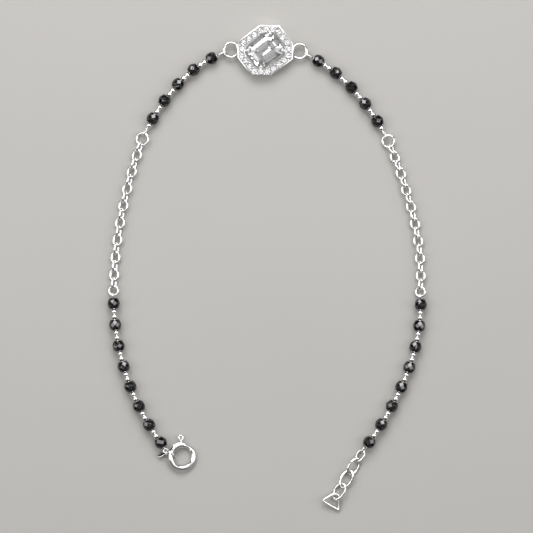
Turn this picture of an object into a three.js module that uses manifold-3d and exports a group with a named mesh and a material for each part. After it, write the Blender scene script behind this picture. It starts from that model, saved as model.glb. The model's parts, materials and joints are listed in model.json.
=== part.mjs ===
// Fine beaded bracelet, lying open on a flat surface.
//
// A halo-set, step-cut stone carries a soldered ring at each side. From each ring runs a wire
// string of cut black beads and small round silver beads, then a length of oval cable chain,
// then a second and longer string. The left side ends in a spring-ring clasp with its jump ring
// and a plain tag, the right side in an extension of four larger links and a triangular end link.
//
// Millimetres. +X is to the right, +Y towards the centrepiece, +Z up. The origin is at the middle
// of the footprint, on the surface that the bracelet lies on.

import * as THREE from 'three';
import { mergeVertices } from 'three/addons/utils/BufferGeometryUtils.js';
import Module from 'manifold-3d';

const wasm = await Module();
wasm.setup();

const { degToRad } = THREE.MathUtils;

// ---- driving dimensions ------------------------------------------------------------------

// Halo: an elongated octagon, a slanted rectangle whose corners are cut upright and level
const HALO = {
  lie: -1.1,            // how far the centrepiece is turned as it lies, degrees
  slant: 38.4,          // heading of the long axis above the line of the side rings, degrees
  length: 9.4,          // between the two short slanted sides
  width: 8.4,           // between the two long slanted sides
  across: 9.85,         // between the upright sides, which carry the side rings
  tall: 9.0,            // between the level sides
  slantedBand: 1.54,    // width of the band along the slanted sides
  squareBand: 1.39,     // width of the band along the upright and level sides
  height: 1.85,         // surface to the bed of the small stones
  rimWidth: 0.2,
  rimHeight: 0.12,
  seatHeight: 0.5,      // thickness of the plate that carries the prongs
  seatHole: [3.6, 2.6], // open back under the stone
};

const PAVE = { count: 21, diameter: 0.95, table: 0.5, height: 0.2, sunk: 0.05, facets: 8 };

const STONE = {
  length: 5.8, width: 4.65, cornerCut: 1.0,
  girdle: 2.45,         // height of the underside of the girdle
  // From the keel up: inset from the girdle outline and height from the girdle
  steps: [
    { inset: 2.15, rise: -2.0 },
    { inset: 1.45, rise: -1.45 },
    { inset: 0.65, rise: -0.72 },
    { inset: 0.0, rise: 0.0 },
    { inset: 0.0, rise: 0.08 },
    { inset: 0.5, rise: 0.42 },
    { inset: 1.05, rise: 0.62 },
  ],
};

// Claws: an upright shank outside each cut corner, and a round head that leans in over it
const PRONG = {
  shank: 0.26, along: 2.61, across: 2.03, sides: 6,
  head: 0.31, headInward: 0.16, headHeight: 2.95, headRings: 4, headSquash: 0.8,
};

const SIDE_RING = { diameter: 3.1, wire: 0.5, offset: 6.15, level: 1.1 };

const BEAD = {
  diameter: 2.3, length: 1.86, bore: 0.62, boreSides: 5, facets: 8,
  shoulder: 0.42,       // distance from the middle to the second row of corners
  level: 1.15,
};

const SILVER = { diameter: 1.06, length: 0.9, crown: 0.24, sides: 10 };

// Strings: distances between centres along the course
const STRING = {
  wire: 0.3, eyeWire: 0.25,
  play: 0.07,           // between an eye and the wire that it holds, all round
  pitch: 3.83,          // black bead to black bead
  upperBeads: 5, lowerBeads: 8,
  lead: 3.8,            // side ring to the first bead
  tail: 4.1,            // fifth bead to the upper chain ring
  restart: 2.32,        // lower chain ring to the first lower bead
  endSilver: 1.42,      // fifth bead to the single silver bead that follows it
  beadEnd: 0.99,        // middle of a black bead to the eye beside it
  silverEnd: 0.37,      // middle of a silver bead to the eye beside it
};

const CHAIN = {
  links: 17, length: 2.35, width: 1.81, wire: 0.43, straight: 0.25, pitch: 1.566, level: 0.84,
};
const CHAIN_TILT = [-64, 6];  // a link on edge, then a link nearly flat, in degrees

const UPPER_RING = { diameter: 2.57, wire: 0.42, tilt: 14, toLink: 1.53 };
const LOWER_RING = { diameter: 2.06, wire: 0.38, tilt: 14, toLink: 1.3 };

// Turn of each string's eyes about the course: upright, flat or between
const EYE_TILT = { sideRing: 90, upperRing: -74, lowerRing: -68, extension: -58, clasp: 0 };

// Headings in degrees, anticlockwise from +X, at the start, middle and end of each stretch
const COURSE = {
  left: { upper: [198, 228, 246], chain: [250, 259, 269], lower: [269, 287, 306] },
  right: { upper: [-23, -47, -64], chain: [-67, -76, -93], lower: [-87, -111, -126] },
};

// Extension links: distance from the piece before, and tilt at the near and the far end
const EXTENSION = {
  wire: 0.44, bends: 12, level: 0.8, lead: 2.95, leadHeading: -124, heading: -120.5,
  links: [
    { length: 2.7, width: 1.96, step: 0, nearTilt: 38, farTilt: 38 },
    { length: 3.7, width: 2.45, step: 2.2, nearTilt: -38, farTilt: -31 },
    { length: 3.9, width: 2.4, step: 2.69, nearTilt: 31, farTilt: -31 },
    { length: 3.56, width: 2.4, step: 2.54, nearTilt: 31, farTilt: 31 },
  ],
};

const TRIANGLE = {
  side: 3.7, bend: 0.85, corner: 0.26, wire: 0.48, wireSides: 5, tilt: -14, slack: 0.47,
};

// Spring-ring clasp, in its own frame: angles in degrees, anticlockwise from +X
const CLASP = {
  along: 4.28, aside: 1.6,     // from the last left bead, along the string and to its left
  lean: 8,                     // the jump ring lifts one side of the clasp
  bend: 2.08, tube: 0.49, bore: 0.39, bolt: 0.32,
  tubeFrom: 75, tubeTo: 402, boreTo: 192,
  boltTip: 43.2, boltTail: 152,
  catchAt: 94, travel: 33, slot: 0.34, slotMargin: 7,
  sides: 10, steps: 17,        // round the tube and along it
  boreSides: 8, boreSteps: 8,
  boreLead: 5,                 // the cut for the bore starts this far before the mouth
};

// Tear-shaped thumb catch: its near end is narrower than its outer end by the taper
const CATCH = { from: 2.64, length: 1.36, width: 1.28, wire: 0.34, taper: 0.5, neck: 0.26 };

// The clasp's string ends in a bent stub and an eye; distances are from the last bead's middle
const CLASP_EYE = { stubTo: 0.95, from: 1.22, to: 2.28, width: 1.04, heading: 294, level: 1.1 };

const JUMP_RING = { diameter: 2.3, wire: 0.34, bends: 14, heading: -36, lean: 20, at: [-2.08, 0.4] };

const TAG = {
  leaf: [1.25, 0.9], eyelet: 0.96, hole: 0.6, length: 2.2, thick: 0.24,
  heading: 200, tilt: 45,
  aroundRing: 42,              // where it hangs on the jump ring, degrees below its near side
};

const COLOURS = { silver: 0xd9dadd, black: 0x0b0b0d, clear: 0xf4f6fa };

// ---- materials ---------------------------------------------------------------------------

function silver() {
  return new THREE.MeshStandardMaterial({ color: COLOURS.silver, metalness: 1, roughness: 0.18 });
}

function blackStone() {
  return new THREE.MeshStandardMaterial({ color: COLOURS.black, metalness: 0, roughness: 0.08 });
}

function clearStone() {
  return new THREE.MeshStandardMaterial({ color: COLOURS.clear, metalness: 0, roughness: 0.02 });
}

// ---- solids ------------------------------------------------------------------------------

function toSolid(geometry) {
  const bare = geometry.clone();
  bare.deleteAttribute('normal');
  bare.deleteAttribute('uv');
  const welded = mergeVertices(bare, 1e-5);
  return new wasm.Manifold(new wasm.Mesh({
    numProp: 3,
    vertProperties: new Float32Array(welded.attributes.position.array),
    triVerts: new Uint32Array(welded.index.array),
  }));
}

function toGeometry(solid) {
  const mesh = solid.getMesh();
  const geometry = new THREE.BufferGeometry();
  geometry.setAttribute('position', new THREE.BufferAttribute(mesh.vertProperties, 3));
  geometry.setIndex(new THREE.BufferAttribute(mesh.triVerts, 1));
  return geometry;
}

function fuse(geometries) {
  return geometries.map(toSolid).reduce((whole, next) => whole.add(next));
}

function piece(name, geometry, material) {
  geometry.computeVertexNormals();
  const mesh = new THREE.Mesh(geometry, material);
  mesh.name = name;
  return mesh;
}

// Stacked outlines of equal point count, joined into a closed solid with flat ends
function loft(outlines) {
  const count = outlines[0].length;
  const last = (outlines.length - 1) * count;
  const indices = [];
  for (let row = 0; row < outlines.length - 1; row++) {
    for (let i = 0; i < count; i++) {
      const next = (i + 1) % count;
      const a = row * count + i;
      const b = row * count + next;
      indices.push(a, b, b + count, a, b + count, a + count);
    }
  }
  for (let i = 1; i < count - 1; i++) {
    indices.push(0, i + 1, i, last, last + i, last + i + 1);
  }
  const geometry = new THREE.BufferGeometry().setFromPoints(outlines.flat());
  geometry.setIndex(indices);
  return geometry;
}

function prism(outline, holes, bottom, top) {
  const shape = new THREE.Shape(outline);
  shape.holes = holes.map((hole) => new THREE.Path(hole));
  const geometry = new THREE.ExtrudeGeometry(shape, { depth: top - bottom, bevelEnabled: false });
  return geometry.translate(0, 0, bottom);
}

function circle(radius, sides) {
  const points = [];
  for (let i = 0; i < sides; i++) {
    const angle = (i / sides) * 2 * Math.PI;
    points.push(new THREE.Vector2(radius * Math.cos(angle), radius * Math.sin(angle)));
  }
  return points;
}

// Flat closed loop of round wire: a section at each station of its centreline, anticlockwise
function wireLoop(stations, wire, sides) {
  const points = stations.flatMap(({ x, y, outward }) => circle(wire / 2, sides).map((c) => {
    return new THREE.Vector3(x + c.x * Math.cos(outward), y + c.x * Math.sin(outward), c.y);
  }));
  const indices = [];
  for (let station = 0; station < stations.length; station++) {
    const start = station * sides;
    const after = ((station + 1) % stations.length) * sides;
    for (let i = 0; i < sides; i++) {
      const next = (i + 1) % sides;
      indices.push(start + i, after + next, start + next, start + i, after + i, after + next);
    }
  }
  const geometry = new THREE.BufferGeometry().setFromPoints(points);
  geometry.setIndex(indices);
  return geometry;
}

// Oval wire link in the XY plane with its length along X, twisted about X. Straight is the length
// of its parallel sides, and taper is the width of the near end as a share of the far end's.
function link(size) {
  const { length, width, wire, straight = 0, taper = 1 } = size;
  const { nearTilt = 0, farTilt = 0, bends = 10, sides = 5 } = size;
  const [a, b] = [(length - wire - straight) / 2, (width - wire) / 2];
  const stations = [];
  for (let i = 0; i < bends; i++) {
    const angle = ((i + 0.5) / bends) * 2 * Math.PI;
    const [cos, sin] = [Math.cos(angle), Math.sin(angle)];
    const narrowing = THREE.MathUtils.lerp(taper, 1, (cos + 1) / 2);
    const x = a * cos + Math.sign(cos) * straight / 2;
    stations.push({ x, y: b * sin * narrowing, outward: Math.atan2(a * sin, b * cos) });
  }
  const geometry = wireLoop(stations, wire, sides);
  const points = geometry.attributes.position;
  const point = new THREE.Vector3();
  const xAxis = new THREE.Vector3(1, 0, 0);
  for (let i = 0; i < points.count; i++) {
    point.fromBufferAttribute(points, i);
    const share = point.x / length + 0.5;
    point.applyAxisAngle(xAxis, degToRad(THREE.MathUtils.lerp(nearTilt, farTilt, share)));
    points.setXYZ(i, point.x, point.y, point.z);
  }
  return geometry;
}

function ring({ diameter, wire, bends = 12 }) {
  return link({ length: diameter, width: diameter, wire, bends });
}

// Flat loop of wire through corners given anticlockwise, each rounded with its own bend radius
function corneredLoop(corners, wire, sides) {
  const stations = corners.flatMap((corner, index) => {
    const before = corners.at(index - 1);
    const after = corners[(index + 1) % corners.length];
    const arriving = Math.atan2(corner.y - before.y, corner.x - before.x);
    const leaving = Math.atan2(after.y - corner.y, after.x - corner.x);
    const turn = THREE.MathUtils.euclideanModulo(leaving - arriving, 2 * Math.PI);
    // The bend's centre lies inside the corner, on the line that halves it
    const inward = arriving + turn / 2 + Math.PI / 2;
    const setBack = corner.bend / Math.cos(turn / 2);
    const centreX = corner.x + setBack * Math.cos(inward);
    const centreY = corner.y + setBack * Math.sin(inward);
    const bend = [];
    for (let k = 0; k <= corner.turns; k++) {
      const outward = arriving - Math.PI / 2 + turn * (k / corner.turns);
      const x = centreX + corner.bend * Math.cos(outward);
      const y = centreY + corner.bend * Math.sin(outward);
      bend.push({ x, y, outward });
    }
    return bend;
  });
  return wireLoop(stations, wire, sides);
}

// ---- the course that the two sides follow --------------------------------------------------

class Course {
  // legs: { length, from, to } with headings in degrees; levels: { at, z } in order of distance
  constructor(start, legs, levels) {
    this.start = start;
    this.legs = legs;
    this.levels = levels;
  }

  heightAt(distance) {
    const { levels } = this;
    const next = levels.findIndex((level) => level.at > distance);
    if (next < 1) {
      return next === 0 ? levels[0].z : levels[levels.length - 1].z;
    }
    const [a, b] = [levels[next - 1], levels[next]];
    return THREE.MathUtils.mapLinear(distance, a.at, b.at, a.z, b.z);
  }

  pointAt(distance) {
    const point = new THREE.Vector3(this.start.x, this.start.y, this.heightAt(distance));
    let left = distance;
    for (const [index, leg] of this.legs.entries()) {
      const isLast = index === this.legs.length - 1;
      const run = isLast ? left : Math.min(left, leg.length);
      const from = degToRad(leg.from);
      const bend = degToRad(leg.to - leg.from) / leg.length;
      // The chord of an arc turns by half the arc's angle
      const half = (bend * run) / 2;
      const chord = Math.abs(half) < 1e-9 ? run : (run * Math.sin(half)) / half;
      point.x += chord * Math.cos(from + half);
      point.y += chord * Math.sin(from + half);
      left -= run;
      if (left <= 0) {
        break;
      }
    }
    return point;
  }

  // Right-handed frame with X along the course and Z as near upright as it allows
  frameAt(distance) {
    const reach = 0.05;
    const along = this.pointAt(distance + reach).sub(this.pointAt(distance - reach)).normalize();
    const side = new THREE.Vector3(0, 0, 1).cross(along).normalize();
    const up = along.clone().cross(side);
    return new THREE.Matrix4().makeBasis(along, side, up).setPosition(this.pointAt(distance));
  }
}

function laid(geometry, course, distance, tilt = 0) {
  const frame = course.frameAt(distance).multiply(new THREE.Matrix4().makeRotationX(degToRad(tilt)));
  return geometry.applyMatrix4(frame);
}

// Bends a solid of revolution about Y, so that its Y axis follows the course
function bendAlong(geometry, course) {
  const points = geometry.attributes.position;
  const point = new THREE.Vector3();
  for (let i = 0; i < points.count; i++) {
    point.fromBufferAttribute(points, i);
    const distance = point.y;
    point.set(0, -point.x, point.z).applyMatrix4(course.frameAt(distance));
    points.setXYZ(i, point.x, point.y, point.z);
  }
  return geometry;
}

// ---- centrepiece ---------------------------------------------------------------------------

// Octagon with a pair of parallel sides in each of four directions
function haloOutline(inset) {
  const slanted = inset * HALO.slantedBand;
  const square = inset * HALO.squareBand;
  const pairs = [
    { normal: 0, half: HALO.across / 2 - square },
    { normal: HALO.slant, half: HALO.length / 2 - slanted },
    { normal: 90, half: HALO.tall / 2 - square },
    { normal: HALO.slant + 90, half: HALO.width / 2 - slanted },
  ];
  const sides = [...pairs, ...pairs.map(({ normal, half }) => ({ normal: normal + 180, half }))];
  return sides.map((side, i) => {
    const next = sides[(i + 1) % sides.length];
    const a = degToRad(side.normal);
    const b = degToRad(next.normal);
    const x = (side.half * Math.sin(b) - next.half * Math.sin(a)) / Math.sin(b - a);
    const y = (next.half * Math.cos(a) - side.half * Math.cos(b)) / Math.sin(b - a);
    return new THREE.Vector2(x, y);
  });
}

function paveStones() {
  const track = new THREE.Path(haloOutline(0.5));
  track.closePath();
  const bottom = HALO.height - PAVE.sunk;
  const stones = [];
  for (let i = 0; i < PAVE.count; i++) {
    const centre = track.getPointAt((i + 0.5) / PAVE.count);
    const stone = new THREE.CylinderGeometry(
      PAVE.table / 2, PAVE.diameter / 2, PAVE.height + PAVE.sunk, PAVE.facets);
    stone.rotateX(Math.PI / 2);
    stone.translate(centre.x, centre.y, bottom + (PAVE.height + PAVE.sunk) / 2);
    stones.push(stone);
  }
  return stones;
}

function prong(signAlong, signAcross) {
  const { sides, headRings, headSquash } = PRONG;
  const base = HALO.seatHeight / 2;
  const height = PRONG.headHeight - base;
  const shank = new THREE.CylinderGeometry(PRONG.shank, PRONG.shank, height, sides);
  shank.rotateX(Math.PI / 2);
  shank.translate(PRONG.along * signAlong, PRONG.across * signAcross, base + height / 2);
  const head = new THREE.SphereGeometry(PRONG.head, sides, headRings);
  head.rotateX(Math.PI / 2);
  head.scale(1, 1, headSquash);
  const along = PRONG.along - PRONG.headInward;
  const across = PRONG.across - PRONG.headInward;
  head.translate(along * signAlong, across * signAcross, PRONG.headHeight);
  return [shank, head].map((part) => part.rotateZ(degToRad(HALO.slant)));
}

function sideRing(side) {
  const wire = ring(SIDE_RING);
  return wire.translate(side * SIDE_RING.offset, 0, SIDE_RING.level);
}

function haloSetting() {
  const rimInset = HALO.rimWidth / HALO.squareBand;
  const opening = haloOutline(1);
  const hole = [[1, 1], [-1, 1], [-1, -1], [1, -1]].map(([x, y]) => {
    const corner = new THREE.Vector2(x * HALO.seatHole[0] / 2, y * HALO.seatHole[1] / 2);
    return corner.rotateAround(new THREE.Vector2(), degToRad(HALO.slant));
  });
  const band = prism(haloOutline(0), [opening], 0, HALO.height);
  const rimTop = HALO.height + HALO.rimHeight;
  const rim = prism(haloOutline(0), [haloOutline(rimInset)], HALO.height / 2, rimTop);
  const seat = prism(haloOutline(0.9), [hole], 0, HALO.seatHeight);
  const prongs = [[1, 1], [-1, 1], [-1, -1], [1, -1]].flatMap(([x, y]) => prong(x, y));
  const solid = fuse([band, rim, seat, ...prongs, ...paveStones(), sideRing(-1), sideRing(1)]);
  return piece('halo_setting', toGeometry(solid), silver());
}

// Rectangle with cut corners, anticlockwise, at a height
function stepOutline(inset, height) {
  const x = STONE.length / 2 - inset;
  const y = STONE.width / 2 - inset;
  const cut = Math.min(STONE.cornerCut, y * STONE.cornerCut * 2 / STONE.width);
  const quarter = [[x, y - cut], [x - cut, y]];
  const corners = [
    ...quarter,
    ...quarter.map(([u, v]) => [-u, v]).reverse(),
    ...quarter.map(([u, v]) => [-u, -v]),
    ...quarter.map(([u, v]) => [u, -v]).reverse(),
  ];
  return corners.map(([u, v]) => new THREE.Vector3(u, v, height));
}

function centreStone() {
  const outlines = STONE.steps.map(({ inset, rise }) => stepOutline(inset, STONE.girdle + rise));
  const geometry = loft(outlines);
  geometry.rotateZ(degToRad(HALO.slant));
  return piece('centre_stone', geometry, clearStone());
}

function centrepiece() {
  const group = new THREE.Group();
  group.add(haloSetting(), centreStone());
  group.rotation.z = degToRad(HALO.lie);
  return group;
}

// ---- beads and strings ---------------------------------------------------------------------

// Cut bead along X with three staggered rows of rhombic facets. Each rhomb is flat: the middle of
// the side between two neighbours lies on the line that joins the corners before and behind it.
function cutBead() {
  const halfStep = Math.PI / BEAD.facets;
  const middle = BEAD.diameter / 2;
  const shoulder = middle * Math.cos(halfStep);
  const fall = (middle - shoulder * Math.cos(halfStep)) / BEAD.shoulder;
  const end = middle - fall * (BEAD.length / 2);
  const rows = [
    { x: -BEAD.length / 2, radius: end },
    { x: -BEAD.shoulder, radius: shoulder },
    { x: 0, radius: middle },
    { x: BEAD.shoulder, radius: shoulder },
    { x: BEAD.length / 2, radius: end },
  ];
  const count = BEAD.facets;
  const points = [];
  const indices = [];
  rows.forEach(({ x, radius }, row) => {
    for (let i = 0; i < count; i++) {
      const angle = (2 * i + (row % 2)) * halfStep;
      points.push(new THREE.Vector3(x, radius * Math.cos(angle), radius * Math.sin(angle)));
    }
  });
  for (let row = 0; row < rows.length - 1; row++) {
    for (let i = 0; i < count; i++) {
      const next = (i + 1) % count;
      const [a, b] = [row * count + i, row * count + next];
      const [c, d] = [a + count, b + count];
      const lean = row % 2 === 0;
      indices.push(...(lean ? [a, c, b, b, c, d] : [a, d, b, a, c, d]));
    }
  }
  const last = (rows.length - 1) * count;
  for (let i = 1; i < count - 1; i++) {
    indices.push(0, i, i + 1, last, last + i + 1, last + i);
  }
  const geometry = new THREE.BufferGeometry().setFromPoints(points);
  geometry.setIndex(indices.reverse());
  const radius = BEAD.bore / 2;
  const drill = new THREE.CylinderGeometry(radius, radius, 2 * BEAD.length, BEAD.boreSides);
  drill.rotateZ(Math.PI / 2);
  return toGeometry(toSolid(geometry).subtract(toSolid(drill)));
}

// Profile of a string between two distances: bare wire, with a swelling at each silver bead
function stringProfile(from, to, silverAt) {
  const wire = STRING.wire / 2;
  const profile = [new THREE.Vector2(0, from), new THREE.Vector2(wire, from)];
  for (const centre of silverAt) {
    const start = centre - SILVER.length / 2;
    const previous = profile[profile.length - 1].y;
    if (start - previous > 1e-6) {
      profile.push(new THREE.Vector2(wire, start));
    }
    profile.push(new THREE.Vector2(SILVER.diameter / 2, centre - SILVER.crown));
    profile.push(new THREE.Vector2(SILVER.diameter / 2, centre + SILVER.crown));
    profile.push(new THREE.Vector2(wire, centre + SILVER.length / 2));
  }
  profile.push(new THREE.Vector2(wire, to), new THREE.Vector2(0, to));
  return profile;
}

// Wire eye from one distance to another, tilted about the course
function eye(course, { from, to, width, tilt }) {
  const length = to - from;
  const loop = link({ length, width, wire: STRING.eyeWire, straight: length - width });
  return laid(loop, course, (from + to) / 2, tilt);
}

function string(name, course, beadsAt, singles, near, far) {
  const pairs = [];
  for (let i = 0; i < beadsAt.length - 1; i++) {
    const middle = (beadsAt[i] + beadsAt[i + 1]) / 2;
    pairs.push(middle - SILVER.length / 2, middle + SILVER.length / 2);
  }
  const silverAt = [...pairs, ...singles].sort((a, b) => a - b);
  const from = near.to - STRING.eyeWire / 2;
  const to = far.from + STRING.eyeWire / 2;
  const profile = stringProfile(from, to, silverAt);
  const core = bendAlong(new THREE.LatheGeometry(profile, SILVER.sides), course);
  const solid = fuse([core, eye(course, near), eye(course, far)]);
  return piece(name, toGeometry(solid), silver());
}

// ---- chains --------------------------------------------------------------------------------

function cableChain(name, course, firstAt) {
  const links = [];
  for (let i = 0; i < CHAIN.links; i++) {
    links.push(laid(link(CHAIN), course, firstAt + i * CHAIN.pitch, CHAIN_TILT[i % 2]));
  }
  return piece(name, toGeometry(fuse(links)), silver());
}

function chainRing(name, course, distance, size) {
  return piece(name, laid(ring(size), course, distance, size.tilt), silver());
}

// ---- one side of the bracelet ---------------------------------------------------------------

function stations() {
  const upper = [];
  for (let i = 0; i < STRING.upperBeads; i++) {
    upper.push(STRING.lead + i * STRING.pitch);
  }
  const upperRing = upper[upper.length - 1] + STRING.tail;
  const firstLink = upperRing + UPPER_RING.toLink;
  const lowerRing = firstLink + (CHAIN.links - 1) * CHAIN.pitch + LOWER_RING.toLink;
  const lower = [];
  for (let i = 0; i < STRING.lowerBeads; i++) {
    lower.push(lowerRing + STRING.restart + i * STRING.pitch);
  }
  return { upper, upperRing, firstLink, lowerRing, lower, lastBead: lower[lower.length - 1] };
}

function legs(length, [start, middle, end]) {
  return [
    { length: length / 2, from: start, to: middle },
    { length: length / 2, from: middle, to: end },
  ];
}

function sideCourse(side, marks, extra) {
  const heading = COURSE[side];
  const sign = side === 'left' ? -1 : 1;
  const lie = degToRad(HALO.lie);
  const start = new THREE.Vector2(Math.cos(lie), Math.sin(lie)).multiplyScalar(sign * SIDE_RING.offset);
  const levels = [
    { at: 0, z: SIDE_RING.level },
    { at: marks.upper[0], z: BEAD.level },
    { at: marks.upper[marks.upper.length - 1], z: BEAD.level },
    { at: marks.upperRing, z: CHAIN.level },
    { at: marks.lowerRing, z: CHAIN.level },
    { at: marks.lower[0], z: BEAD.level },
    { at: marks.lastBead, z: BEAD.level },
    ...extra.levels,
  ];
  return new Course(start, [
    ...legs(marks.upperRing, heading.upper),
    ...legs(marks.lowerRing - marks.upperRing, heading.chain),
    ...legs(marks.lastBead - marks.lowerRing, heading.lower),
    ...extra.legs,
  ], levels);
}

// An eye whose round end holds a wire that crosses the course, on the far or the near side of it
function eyeAround(wireAt, wire, otherEnd, tilt) {
  const reach = wire / 2 + STRING.play + STRING.eyeWire;
  const width = (wire + 2 * STRING.play) / Math.abs(Math.sin(degToRad(tilt))) + 2 * STRING.eyeWire;
  const ends = otherEnd < wireAt ? [otherEnd, wireAt + reach] : [wireAt - reach, otherEnd];
  return { from: ends[0], to: ends[1], width, tilt };
}

function wireRadius({ diameter, wire }) {
  return (diameter - wire) / 2;
}

function sideOfBracelet(side, course, marks, lastEye) {
  const group = new THREE.Group();
  const { upper, lower, upperRing, lowerRing } = marks;
  const single = upper[upper.length - 1] + STRING.endSilver;
  const firstEye = eyeAround(
    wireRadius(SIDE_RING), SIDE_RING.wire, upper[0] - STRING.beadEnd, EYE_TILT.sideRing);
  const tailEye = eyeAround(
    upperRing - wireRadius(UPPER_RING), UPPER_RING.wire, single + STRING.silverEnd, EYE_TILT.upperRing);
  const startEye = eyeAround(
    lowerRing + wireRadius(LOWER_RING), LOWER_RING.wire, lower[0] - STRING.beadEnd, EYE_TILT.lowerRing);
  group.add(string(`upper_string_${side}`, course, upper, [single], firstEye, tailEye));
  group.add(chainRing(`upper_chain_ring_${side}`, course, upperRing, UPPER_RING));
  group.add(cableChain(`cable_chain_${side}`, course, marks.firstLink));
  group.add(chainRing(`lower_chain_ring_${side}`, course, lowerRing, LOWER_RING));
  group.add(string(`lower_string_${side}`, course, lower, [], startEye, lastEye));
  [...upper, ...lower].forEach((distance, i) => {
    const number = String(i + 1).padStart(2, '0');
    group.add(piece(`bead_${side}_${number}`, laid(cutBead(), course, distance), blackStone()));
  });
  return group;
}

// ---- extension -------------------------------------------------------------------------------

function extensionLegs() {
  return [
    { length: EXTENSION.lead, from: EXTENSION.leadHeading, to: EXTENSION.leadHeading },
    { length: 1, from: EXTENSION.heading, to: EXTENSION.heading },
  ];
}

// Triangular link along X: a wide bend at the near end, then two sharp corners
function triangleLink() {
  const height = TRIANGLE.side * Math.cos(Math.PI / 6);
  const half = TRIANGLE.side / 2;
  return corneredLoop([
    { x: 0, y: 0, bend: TRIANGLE.bend, turns: 4 },
    { x: height, y: -half, bend: TRIANGLE.corner, turns: 2 },
    { x: height, y: half, bend: TRIANGLE.corner, turns: 2 },
  ], TRIANGLE.wire, TRIANGLE.wireSides);
}

function extension(course, marks) {
  const group = new THREE.Group();
  let distance = marks.lastBead + EXTENSION.lead;
  let last = null;
  EXTENSION.links.forEach((row, i) => {
    distance += row.step;
    const loop = link({ ...row, wire: EXTENSION.wire, bends: EXTENSION.bends });
    group.add(piece(`extension_link_${i + 1}`, laid(loop, course, distance), silver()));
    last = row;
  });
  // The sharp apex lies one bend before the wire's own round end
  const lastWire = distance + (last.length - EXTENSION.wire) / 2;
  const apexWire = lastWire - (EXTENSION.wire + TRIANGLE.wire) / 2 - TRIANGLE.slack;
  const loop = triangleLink();
  const start = apexWire - TRIANGLE.bend;
  group.add(piece('end_triangle', laid(loop, course, start, TRIANGLE.tilt), silver()));
  return group;
}

// ---- clasp -----------------------------------------------------------------------------------

// Round bar bent about Z between two angles, with flat ends
function bentBar(radius, from, to, sides, steps) {
  const start = degToRad(from);
  const end = degToRad(to);
  const rings = [];
  for (let k = 0; k <= steps; k++) {
    const angle = THREE.MathUtils.lerp(start, end, k / steps);
    rings.push(circle(radius, sides).map((c) => {
      const reach = CLASP.bend + c.x;
      return new THREE.Vector3(reach * Math.cos(angle), reach * Math.sin(angle), c.y);
    }));
  }
  const geometry = loft(rings);
  geometry.setIndex([...geometry.index.array].reverse());
  return geometry;
}

function claspRing() {
  const { tubeFrom, tubeTo, boreTo, boreLead, boreSides, boreSteps } = CLASP;
  const tube = toSolid(bentBar(CLASP.tube, tubeFrom, tubeTo, CLASP.sides, CLASP.steps));
  const bore = toSolid(bentBar(CLASP.bore, tubeFrom - boreLead, boreTo, boreSides, boreSteps));
  const slotFrom = degToRad(CLASP.catchAt - CLASP.slotMargin);
  const slotTo = degToRad(CLASP.catchAt + CLASP.travel + CLASP.slotMargin);
  const outer = CLASP.bend + 2 * CLASP.tube;
  const sector = new THREE.Shape();
  sector.absarc(0, 0, outer, slotFrom, slotTo, false);
  sector.absarc(0, 0, CLASP.bend, slotTo, slotFrom, true);
  const slotShape = new THREE.ExtrudeGeometry(sector, {
    depth: CLASP.slot, bevelEnabled: false, curveSegments: 4,
  });
  const slot = toSolid(slotShape.translate(0, 0, -CLASP.slot / 2));
  return piece('clasp_ring', toGeometry(tube.subtract(bore).subtract(slot)), silver());
}

function claspBolt() {
  const { boltTip, boltTail, boreSides, boreSteps } = CLASP;
  const bolt = bentBar(CLASP.bolt, boltTip, boltTail, boreSides, boreSteps);
  const neckEnd = CATCH.from + CATCH.wire / 2;
  const neck = new THREE.BoxGeometry(neckEnd - CLASP.bend, CATCH.neck, CATCH.neck);
  neck.translate((neckEnd + CLASP.bend) / 2, 0, 0);
  const loop = link(CATCH);
  loop.translate(CATCH.from + CATCH.length / 2, 0, 0);
  const grip = [neck, loop].map((part) => part.rotateZ(degToRad(CLASP.catchAt)));
  return piece('clasp_bolt', toGeometry(fuse([bolt, ...grip])), silver());
}

// The jump ring's own frame in the clasp: X along its heading, Y up its lean
function jumpRingFrame() {
  const centre = new THREE.Vector3(...JUMP_RING.at);
  centre.z = wireRadius(JUMP_RING) * Math.cos(degToRad(JUMP_RING.lean)) + JUMP_RING.wire / 2;
  const turn = new THREE.Euler(degToRad(90 - JUMP_RING.lean), 0, degToRad(JUMP_RING.heading), 'ZYX');
  return new THREE.Matrix4().makeRotationFromEuler(turn).setPosition(centre);
}

function jumpRing() {
  const loop = ring(JUMP_RING);
  return piece('clasp_jump_ring', loop.applyMatrix4(jumpRingFrame()), silver());
}

// Flat tag along X: a round eyelet at the origin, a waist and an oval leaf
function claspTag() {
  const leaf = new THREE.Shape();
  const leafAt = TAG.length - (TAG.eyelet + TAG.leaf[0]) / 2;
  leaf.absellipse(leafAt, 0, TAG.leaf[0] / 2, TAG.leaf[1] / 2, 0, 2 * Math.PI, false, 0);
  const eyelet = new THREE.Shape(circle(TAG.eyelet / 2, 10));
  const hole = new THREE.Shape(circle(TAG.hole / 2, 10));
  const plate = { depth: TAG.thick, bevelEnabled: false, curveSegments: 8 };
  const drill = { depth: 3 * TAG.thick, bevelEnabled: false };
  const body = toSolid(new THREE.ExtrudeGeometry(leaf, plate))
    .add(toSolid(new THREE.ExtrudeGeometry(eyelet, plate)));
  const cut = toSolid(new THREE.ExtrudeGeometry(hole, drill).translate(0, 0, -TAG.thick));
  const geometry = toGeometry(body.subtract(cut)).translate(0, 0, -TAG.thick / 2);
  return piece('clasp_tag', geometry, silver());
}

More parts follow.
